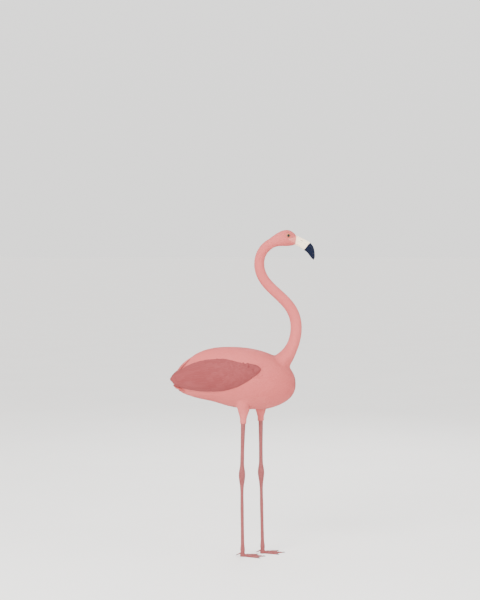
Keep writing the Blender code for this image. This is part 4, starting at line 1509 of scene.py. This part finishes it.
class FLAMINGO_OT_wings(bpy.types.Operator):
    """Lay the coverts, the long rear feathers and the hidden flight feathers of both folded wings"""

    bl_idname = "flamingo.wings"
    bl_label = "Wings"

    def execute(self, context):
        settings = context.scene.flamingo_plumage
        roses = colours(settings, "covert", "covert_deep", "covert_pale")
        rose = feather_finish("wing coverts", *roses, barbs=230.0, pale_edge=0.50, variety=0.50)
        long_rose = feather_finish("long wing feathers", *roses, barbs=620.0, pale_edge=0.45, variety=0.50)
        dark = tuple(settings.flight)
        black = feather_finish("flight feathers", dark, dark, tuple(c * 1.8 for c in dark), barbs=620.0, sheen=0.05)
        covert = vane("covert_vane", COVERT_ROWS, 5, 0.03, 0.02)
        plume = vane("plume_vane", LONG_ROWS, 5, 0.03, 0.02)
        for name, side in SIDES:
            rng = np.random.default_rng(settings.seed + 20 + side)
            form = make_wing_form("wing_form", side)
            short_rows = [*LESSER_ROWS, *MEDIAN_ROWS, *GREATER_ROWS]
            coverts = lay(
                f"wing_coverts_{name}", wing_rows(short_rows, side, rng, -86, 86, 3, SLANT), covert, form, rose, 3.0
            )
            outer = wing_rows(LONG_WING_ROWS, side, rng, -88, 92, 2, SLANT * 0.6)
            inner = wing_rows(INNER_ROWS, side, rng, 95, 200, 0)
            both = {key: np.concatenate([outer[key], inner[key]]) for key in outer}
            plumes = lay(f"wing_plumes_{name}", both, plume, form, long_rose, 1.5)
            flight = lay(
                f"flight_feathers_{name}", wing_rows(FLIGHT_ROWS, side, rng, 200, 262, 0), plume, form, black, 0.5
            )
            kept(coverts, "wing_plumage", f"wing_{name}")
            kept(plumes, "wing_plumage")
            kept(flight, "wing_plumage")
            print(f"wing {name}: {len(both['point'])} long feathers")
            discard(form)
        discard(covert, plume)
        return {"FINISHED"}


TAIL_LAYERS = (  # feathers, root X and Z, tip X and Z, the tips' reach sideways, width, 1 above or -1 below, bend
    (9, -0.224, 0.6880, -0.2905, 0.7120, 0.0150, 0.0135, 1, (0, 0, 0)),
    (8, -0.222, 0.6905, -0.2890, 0.7140, 0.0135, 0.0135, 1, (0, 0, 0)),
    (8, -0.223, 0.6865, -0.2875, 0.7090, 0.0140, 0.0135, 1, (0, 0, 0)),
    (8, -0.223, 0.6850, -0.2845, 0.7045, 0.0145, 0.0135, -1, (0, 0, 0)),
    (8, -0.224, 0.6965, -0.2780, 0.7100, 0.0145, 0.0135, 1, (0, 0, -0.0035)),
    (7, -0.220, 0.6985, -0.2640, 0.7060, 0.0125, 0.0135, 1, (0, 0, -0.0035)),
    (8, -0.224, 0.6830, -0.2800, 0.6995, 0.0145, 0.0135, -1, (0, 0, 0.0035)),
    (7, -0.220, 0.6810, -0.2660, 0.6890, 0.0125, 0.0135, -1, (0, 0, 0.0035)),
    (9, -0.252, 0.7875, -0.2930, 0.7260, 0.0110, 0.0100, 1, (0.010, 0, -0.020)),
    (10, -0.243, 0.7980, -0.2880, 0.7410, 0.0130, 0.0105, 1, (0.010, 0, -0.018)),
    (11, -0.233, 0.8085, -0.2815, 0.7560, 0.0145, 0.0105, 1, (0.010, 0, -0.017)),
    (12, -0.222, 0.8185, -0.2730, 0.7715, 0.0155, 0.0105, 1, (0.009, 0, -0.015)),
    (13, -0.210, 0.8285, -0.2625, 0.7860, 0.0165, 0.0105, 1, (0.008, 0, -0.013)),
)  # fmt: skip


class FLAMINGO_OT_tail(bpy.types.Operator):
    """Fan the tail feathers and cover their roots"""

    bl_idname = "flamingo.tail"
    bl_label = "Tail"

    def execute(self, context):
        settings = context.scene.flamingo_plumage
        pinks = colours(settings, "body", "deep", "pale")
        finish = feather_finish("tail feathers", *pinks, barbs=420.0)
        plume = vane("tail_vane", LONG_ROWS, 5, 0.04, 0.02)
        rng = np.random.default_rng(settings.seed + 40)
        rows = []
        for layer, (count, root_x, root_z, tip_x, tip_z, spread, width, up, bend) in enumerate(TAIL_LAYERS):
            upper_fan = up > 0 and root_z < 0.75
            for i in range(count):
                share = -1 + 2 * i / (count - 1)
                fall = (0.0045 if upper_fan else 0.0010 * up) * share**2
                root = np.array((root_x, 0.0105 * share, root_z - fall))
                tip = np.array((tip_x + 0.0075 * share**2, spread * share, tip_z - fall))
                way = tip - root - np.array(bend)
                reach = float(np.linalg.norm(way)) * rng.uniform(0.98, 1.01)
                rows.append((
                    root, unit(way), (0.0, share * (0.75 if upper_fan else 0.28), up), (reach, width, 0.0),
                    bend, rng.uniform(-1, 1), (0.05 + 0.07 * layer, 0.5 + 0.4 * share),
                ))  # fmt: skip
        roots = columns_of(BENT_KEYS, rows)
        roots["cling"] = np.zeros(len(rows))
        tail = lay("tail_feathers", roots, plume, bpy.data.objects["skin"], finish, 0.8)
        kept(tail, "loose_plumage", "tail")
        discard(plume)
        return {"FINISHED"}


def eased_heading(line, place):
    """The line's heading at a place, averaged over a short stretch."""
    easing = min(place, BILL_EASING)
    return unit(line(place - easing)[1] + line(place + easing)[1])


def bill_rings(rows, side, line, count=160, around=41):
    """The rings of one half of the bill, with their lengths along the gape; its side is 1 above and -1 below."""
    reach = curve_through(rows)
    rings, places = [], []
    for place in np.linspace(0.0, rows[-1][0], count):
        centre = line(place)[0]
        up = np.cross(ACROSS, eased_heading(line, place)) * -side
        height, half_width = reach(place)
        turn = np.linspace(0, math.pi, around)
        rise = np.sin(turn)
        swell = 1.0 - 0.035 * np.exp(-(((rise - 0.34) / 0.07) ** 2)) * smoothstep(0.004, 0.02, place)
        if side > 0:
            swell += 0.03 * np.exp(-(((rise - 1.0) / 0.05) ** 2)) * smoothstep(0.004, 0.03, place)
        else:
            swell -= 0.030 * np.exp(-(((rise - 0.72) / 0.06) ** 2)) * math.exp(-(((place - 0.030) / 0.018) ** 2))
        across = half_width * np.cos(turn) * swell
        lift = height * rise * swell
        start = np.asarray(centre) + up * CAD_GAP / 2
        rings.append(start + across[:, None] * np.array((0, 1, 0)) + lift[:, None] * up)
        places.append(place)
    return rings, places


class FLAMINGO_OT_bill(bpy.types.Operator):
    """Make the bill's two halves, the nostrils and the filter teeth along the gape"""

    bl_idname = "flamingo.bill"
    bl_label = "Bill"

    def execute(self, context):
        horn = context.scene.flamingo_horn
        base, forward = neck_line(HEAD_END)
        upward = np.cross(forward, ACROSS)
        line = bent_line(base + upward * GAPE_RISE + forward * CAD_GAP, BILL_BENDS)
        finish = bill_finish(horn)
        for name, rows, side in (("upper", UPPER_BILL, 1), ("lower", LOWER_BILL, -1)):
            rings, places = bill_rings(rows, side, line)
            half = loft(f"bill_{name}", rings)
            around = len(rings[0])
            store(half.data, "gape", np.repeat(places, around))
            if side > 0:
                nostrils = []
                for y_side in (1, -1):
                    spot, ahead = line(NOSTRIL["place"])
                    up = np.cross(ahead, ACROSS)
                    middle = spot + up * NOSTRIL["up"] + np.array((0, y_side * NOSTRIL["out"], 0))
                    slit = ball("nostril", (0, 0, 0), 1.0)
                    turn = Matrix.Rotation(-math.atan2(ahead[2], ahead[0]) + NOSTRIL["turn"], 4, "Y")
                    size = Matrix.Diagonal((*NOSTRIL["size"], 1.0))
                    slit.data.transform(Matrix.Translation(middle) @ turn @ size)
                    nostrils.append(slit)
                outside = surface_tree([half])
                half = combined(half, "DIFFERENCE", *nostrils)
            # How deep each point lies under the bill's uncut outside, for the painted shade inside the nostrils.
            nostril_shade_depths = [outside.find_nearest(vert.co)[3] if side > 0 else 0.0 for vert in half.data.vertices]
            store(half.data, "hollow", nostril_shade_depths)
            wear(half, finish)
            half.data.set_sharp_from_angle(angle=math.radians(50))
            kept(half, "bill_horn", f"{name}_bill")
        self.make_lamellae(horn, line)
        return {"FINISHED"}

    def make_lamellae(self, horn, line):
        """A comb of small teeth that closes the gape on both sides."""
        tooth = vane("tooth", ((0, 0), (0.06, 0.42), (0.6, 0.5), (0.94, 0.3), (1, 0)), 3, 0.3, 0.5)
        width = curve_through(UPPER_BILL)
        rows = []
        for place in np.arange(0.010, 0.112, horn.lamella_step):
            spot, _ = line(place)
            up = np.cross(eased_heading(line, place), ACROSS)
            for side in (1, -1):
                point = spot + up * 0.0005 + np.array((0, side * (width(place)[1] - 0.0011), 0))
                size = (0.0013, horn.lamella_step * 0.62, 0.0)
                rows.append((point, -up, (0.0, side, 0.0), size, 0.0, (place * 8, 0.5 + side * 0.2)))
        roots = columns_of(ROOT_KEYS, rows)
        roots["cling"] = np.zeros(len(rows))
        finish = horn_finish("filter teeth", (0.35, 0.24, 0.20), (0.14, 0.09, 0.09))
        kept(lay("bill_lamellae", roots, tooth, bpy.data.objects["skin"], finish), "bill_horn")
        discard(tooth)


class FLAMINGO_OT_eyes(bpy.types.Operator):
    """Make both eyeballs, with the clear bulge over the iris"""

    bl_idname = "flamingo.eyes"
    bl_label = "Eyes"

    def execute(self, context):
        finish = eye_finish(context.scene.flamingo_eye)
        for name, side in SIDES:
            centre, out, ahead, above = eye_frame(side)
            bm = bmesh.new()
            bmesh.ops.create_uvsphere(bm, u_segments=64, v_segments=64, radius=1.0)
            turn = Matrix((ahead, above, out)).transposed()
            angles = []
            for vert in bm.verts:
                angle = math.degrees(math.acos(max(-1.0, min(1.0, vert.co.z))))
                bulge = CORNEA_BULGE * max(0.0, 1 - (angle / CORNEA_EDGE) ** 2)
                vert.co = centre + turn @ (vert.co * EYE_RADIUS * (0.995 + bulge))
                angles.append(angle)
            eye = from_bmesh(f"eyeball_{name}", bm)
            store(eye.data, "ring", angles)
            wear(eye, finish)
            kept(eye, "eye", f"eye_{name}")
        return {"FINISHED"}


class FLAMINGO_OT_scales(bpy.types.Operator):
    """Lay the scales of the bare legs and the toes"""

    bl_idname = "flamingo.scales"
    bl_label = "Leg scales"

    def execute(self, context):
        settings = context.scene.flamingo_skin
        skin = bpy.data.objects["skin"]
        plate_rows = ((0, 0), (0.03, 0.42), (0.16, 0.5), (0.80, 0.5), (0.96, 0.42), (1, 0))
        broad = vane("broad_scale", plate_rows, 7, 0.0, 0.030)
        small = vane("small_scale", ((0, 0), (0.10, 0.40), (0.5, 0.5), (0.88, 0.38), (1, 0)), 3, 0.10, 0.08)
        finish = scute_finish(settings)
        rng = np.random.default_rng(11)
        for name, side in SIDES:
            big, little = self.rows_of(name, side, settings.scale_step, rng)
            kept(lay(f"leg_plates_{name}", big, broad, skin, finish, stand=0.0001), "leg_skin")
            kept(lay(f"leg_scales_{name}", little, small, skin, finish, stand=0.0001), "leg_skin")
        discard(broad, small)
        return {"FINISHED"}

    def rows_of(self, name, side, step, rng):
        line = LEG_LINES[name]
        broad, small = [], []

        def add(rows, height, degrees, length, width):
            depth, half = leg_section(height)
            turn = math.radians(degrees)
            out = np.array((math.cos(turn), math.sin(turn), 0.0))
            point = line(height) + np.array((depth * out[0], half * out[1], 0.0))
            lie = line(height - 0.004) - line(height)
            lie = lie - out * (lie @ out)
            patch = (height / THIGH_END * 0.96 + 0.02, (degrees % 360) / 360 * 0.9 + 0.05)
            rows.append((point, lie / np.linalg.norm(lie), out, (length, width, 0.02), rng.uniform(-1, 1), patch))

        height, number = THIGH_END - 0.002, 0
        while height > 0.027:
            width = leg_section(height)[1]
            knuckle = abs(height - ANKLE_HEIGHT - 0.004) < 0.034 or height < 0.050
            if knuckle:
                for i in range(KNUCKLE_SCALES):
                    degrees = 360 * (i + 0.5 * (number % 2)) / KNUCKLE_SCALES
                    add(small, height, degrees, 0.0052, 2 * math.pi * width / KNUCKLE_SCALES * 1.1)
                height -= step * 0.72
            else:
                add(broad, height, 0, step * 1.25, width * 2.2)
                add(broad, height - step / 2, 180, step * 1.25, width * 2.0)
                for degrees in (72, 108, 252, 288):
                    add(small, height - step * 0.25 * (degrees % 5), degrees, step * 1.15, width * 0.80)
                height -= step
            number += 1
        place = foot_place(name, side)
        for toe_angle, length in TOES.values():
            heading = toe_heading(place, toe_angle, side)
            for reach in np.arange(0.013, length - 0.004, 0.0042):
                share = reach / length
                point = place.translation + heading * reach + Z_AXIS * toe_height(share)
                size = (0.0054, toe_width(share) * 1.9, 0.02)
                patch = (0.02 + 0.9 * share, 0.3 + 0.005 * toe_angle)
                tone = rng.uniform(-1, 1)
                broad.append((np.array(point), np.array(heading), (0.0, 0.0, 1.0), size, tone, patch))
        return [columns_of(ROOT_KEYS, rows) for rows in (broad, small)]


class FLAMINGO_OT_claws(bpy.types.Operator):
    """Make the claws of both feet"""

    bl_idname = "flamingo.claws"
    bl_label = "Claws"

    def execute(self, context):
        horn = context.scene.flamingo_horn
        claw = tuple(horn.claw)
        finish = horn_finish("claw horn", claw, tuple(c * 0.4 for c in claw))
        for name, side in SIDES:
            place = foot_place(name, side)
            parts = []
            for toe_angle, length in TOES.values():
                heading = toe_heading(place, toe_angle, side)
                root = place.translation + heading * (length - 0.0010) + Z_AXIS * CLAW_RADIUS
                parts.append(self.make_claw(root, heading, CLAW_RADIUS, CLAW_LENGTH + 0.0018, 0.0008))
            heading = place.to_3x3() @ Vector((-1, 0, 0))
            root = place.translation + Z_AXIS * (HIND_TOE["height"] - HIND_TOE["drop"] - 0.0002)
            root += heading * (HIND_TOE["radius"] + HIND_TOE["length"] - 0.0010)
            parts.append(self.make_claw(root, heading, CLAW_RADIUS * 0.88, CLAW_LENGTH * 0.78 + 0.0014, 0.0018))
            claws = joined(f"claws_{name}", parts)
            claws.data.shade_smooth()
            wear(claws, finish)
            kept(claws, "dark_horn", *(f"claw_{toe}_{name}" for toe in (*TOES, "hind")))
        return {"FINISHED"}

    def make_claw(self, root, heading, radius, length, drop):
        side = heading.cross(Z_AXIS).normalized()
        rings = []
        for share in np.linspace(0, 1, 14):
            centre = root + heading * length * share - Z_AXIS * drop * share**2
            thick = radius * (1 - 0.72 * share**1.6) * math.sqrt(max(0.02, 1 - max(0.0, share - 0.9) * 9.8))
            rings.append(oval(centre, side, Z_AXIS, thick * 1.05, thick * 0.8, thick * 0.8, 16))
        return loft("claw", rings)


class FLAMINGO_OT_stage(bpy.types.Operator):
    """Set the pale floor, the soft lights, the surround and the camera"""

    bl_idname = "flamingo.stage"
    bl_label = "Stage"

    def execute(self, context):
        stage = context.scene.flamingo_stage
        bm = bmesh.new()
        bmesh.ops.create_circle(bm, cap_ends=True, segments=96, radius=FLOOR_RADIUS)
        floor = from_bmesh("floor", bm)
        if floor.data.polygons[0].normal.z < 0:
            floor.data.flip_normals()
        wear(floor, floor_finish(stage))
        for name, spot, size, power in (
            ("key", (-2.2, -3.4, 3.4), 2.6, stage.key), ("fill", (3.2, -2.6, 1.8), 2.4, stage.fill),
            ("rim", (0.8, 3.4, 3.0), 2.4, stage.fill * 0.9),
        ):  # fmt: skip
            data = bpy.data.lights.new(name, "AREA")
            data.shape, data.size, data.energy = "DISK", size, power
            light = bpy.data.objects.new(name, data)
            context.scene.collection.objects.link(light)
            light.location = spot
            light.rotation_euler = (LIGHTS_AIM - Vector(spot)).to_track_quat("-Z", "Y").to_euler()
        world = bpy.data.worlds.new("surround")
        world.use_nodes = True
        background = world.node_tree.nodes["Background"]
        graph = Graph(world.node_tree)
        _, _, height = graph.split(graph.node("ShaderNodeTexCoord", None, None, "Generated"))
        sky = graph.mix(height.between(0.0, 0.6), tuple(stage.horizon), tuple(stage.sky))
        world.node_tree.links.new(sky.socket, background.inputs["Color"])
        background.inputs["Strength"].default_value = stage.sky_strength
        context.scene.world = world
        data = bpy.data.cameras.new("camera")
        data.lens, data.clip_start, data.clip_end = stage.lens, 0.05, 300.0
        camera = bpy.data.objects.new("camera", data)
        context.scene.collection.objects.link(camera)
        camera.location = CAMERA_PLACE
        camera.rotation_euler = (math.radians(90 - CAMERA_FALL), 0.0, 0.0)
        context.scene.camera = camera
        return {"FINISHED"}


class FLAMINGO_PT_sidebar(bpy.types.Panel):
    bl_label = "Flamingo"
    bl_idname = "FLAMINGO_PT_sidebar"
    bl_space_type = "VIEW_3D"
    bl_region_type = "UI"
    bl_category = "Flamingo"

    def draw(self, context):
        for group in SETTINGS:
            settings = getattr(context.scene, group)
            for name in settings.bl_rna.properties.keys():
                if name not in ("rna_type", "name"):
                    self.layout.prop(settings, name)
        for operator in PIECES:
            self.layout.operator(operator.bl_idname)


SETTINGS = {
    "flamingo_plumage": FlamingoPlumage,
    "flamingo_skin": FlamingoSkin,
    "flamingo_horn": FlamingoHorn,
    "flamingo_eye": FlamingoEye,
    "flamingo_stage": FlamingoStage,
}
PIECES = (
    FLAMINGO_OT_stage, FLAMINGO_OT_skin, FLAMINGO_OT_plumage, FLAMINGO_OT_wings, FLAMINGO_OT_tail,
    FLAMINGO_OT_bill, FLAMINGO_OT_eyes, FLAMINGO_OT_scales, FLAMINGO_OT_claws,
)  # fmt: skip


def register():
    for kind in (*SETTINGS.values(), *PIECES, FLAMINGO_PT_sidebar):
        bpy.utils.register_class(kind)
    for name, kind in SETTINGS.items():
        setattr(bpy.types.Scene, name, bpy.props.PointerProperty(type=kind))


def unregister():
    for name in SETTINGS:
        delattr(bpy.types.Scene, name)
    for kind in (FLAMINGO_PT_sidebar, *reversed(PIECES), *SETTINGS.values()):
        bpy.utils.unregister_class(kind)


def main():
    register()
    for piece in PIECES:
        group, name = piece.bl_idname.split(".")
        getattr(getattr(bpy.ops, group), name)()
    skin = bpy.data.objects["skin"].data
    skin.attributes.remove(skin.attributes["surface_normal"])
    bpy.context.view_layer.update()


if __name__ == "__main__":
    main()
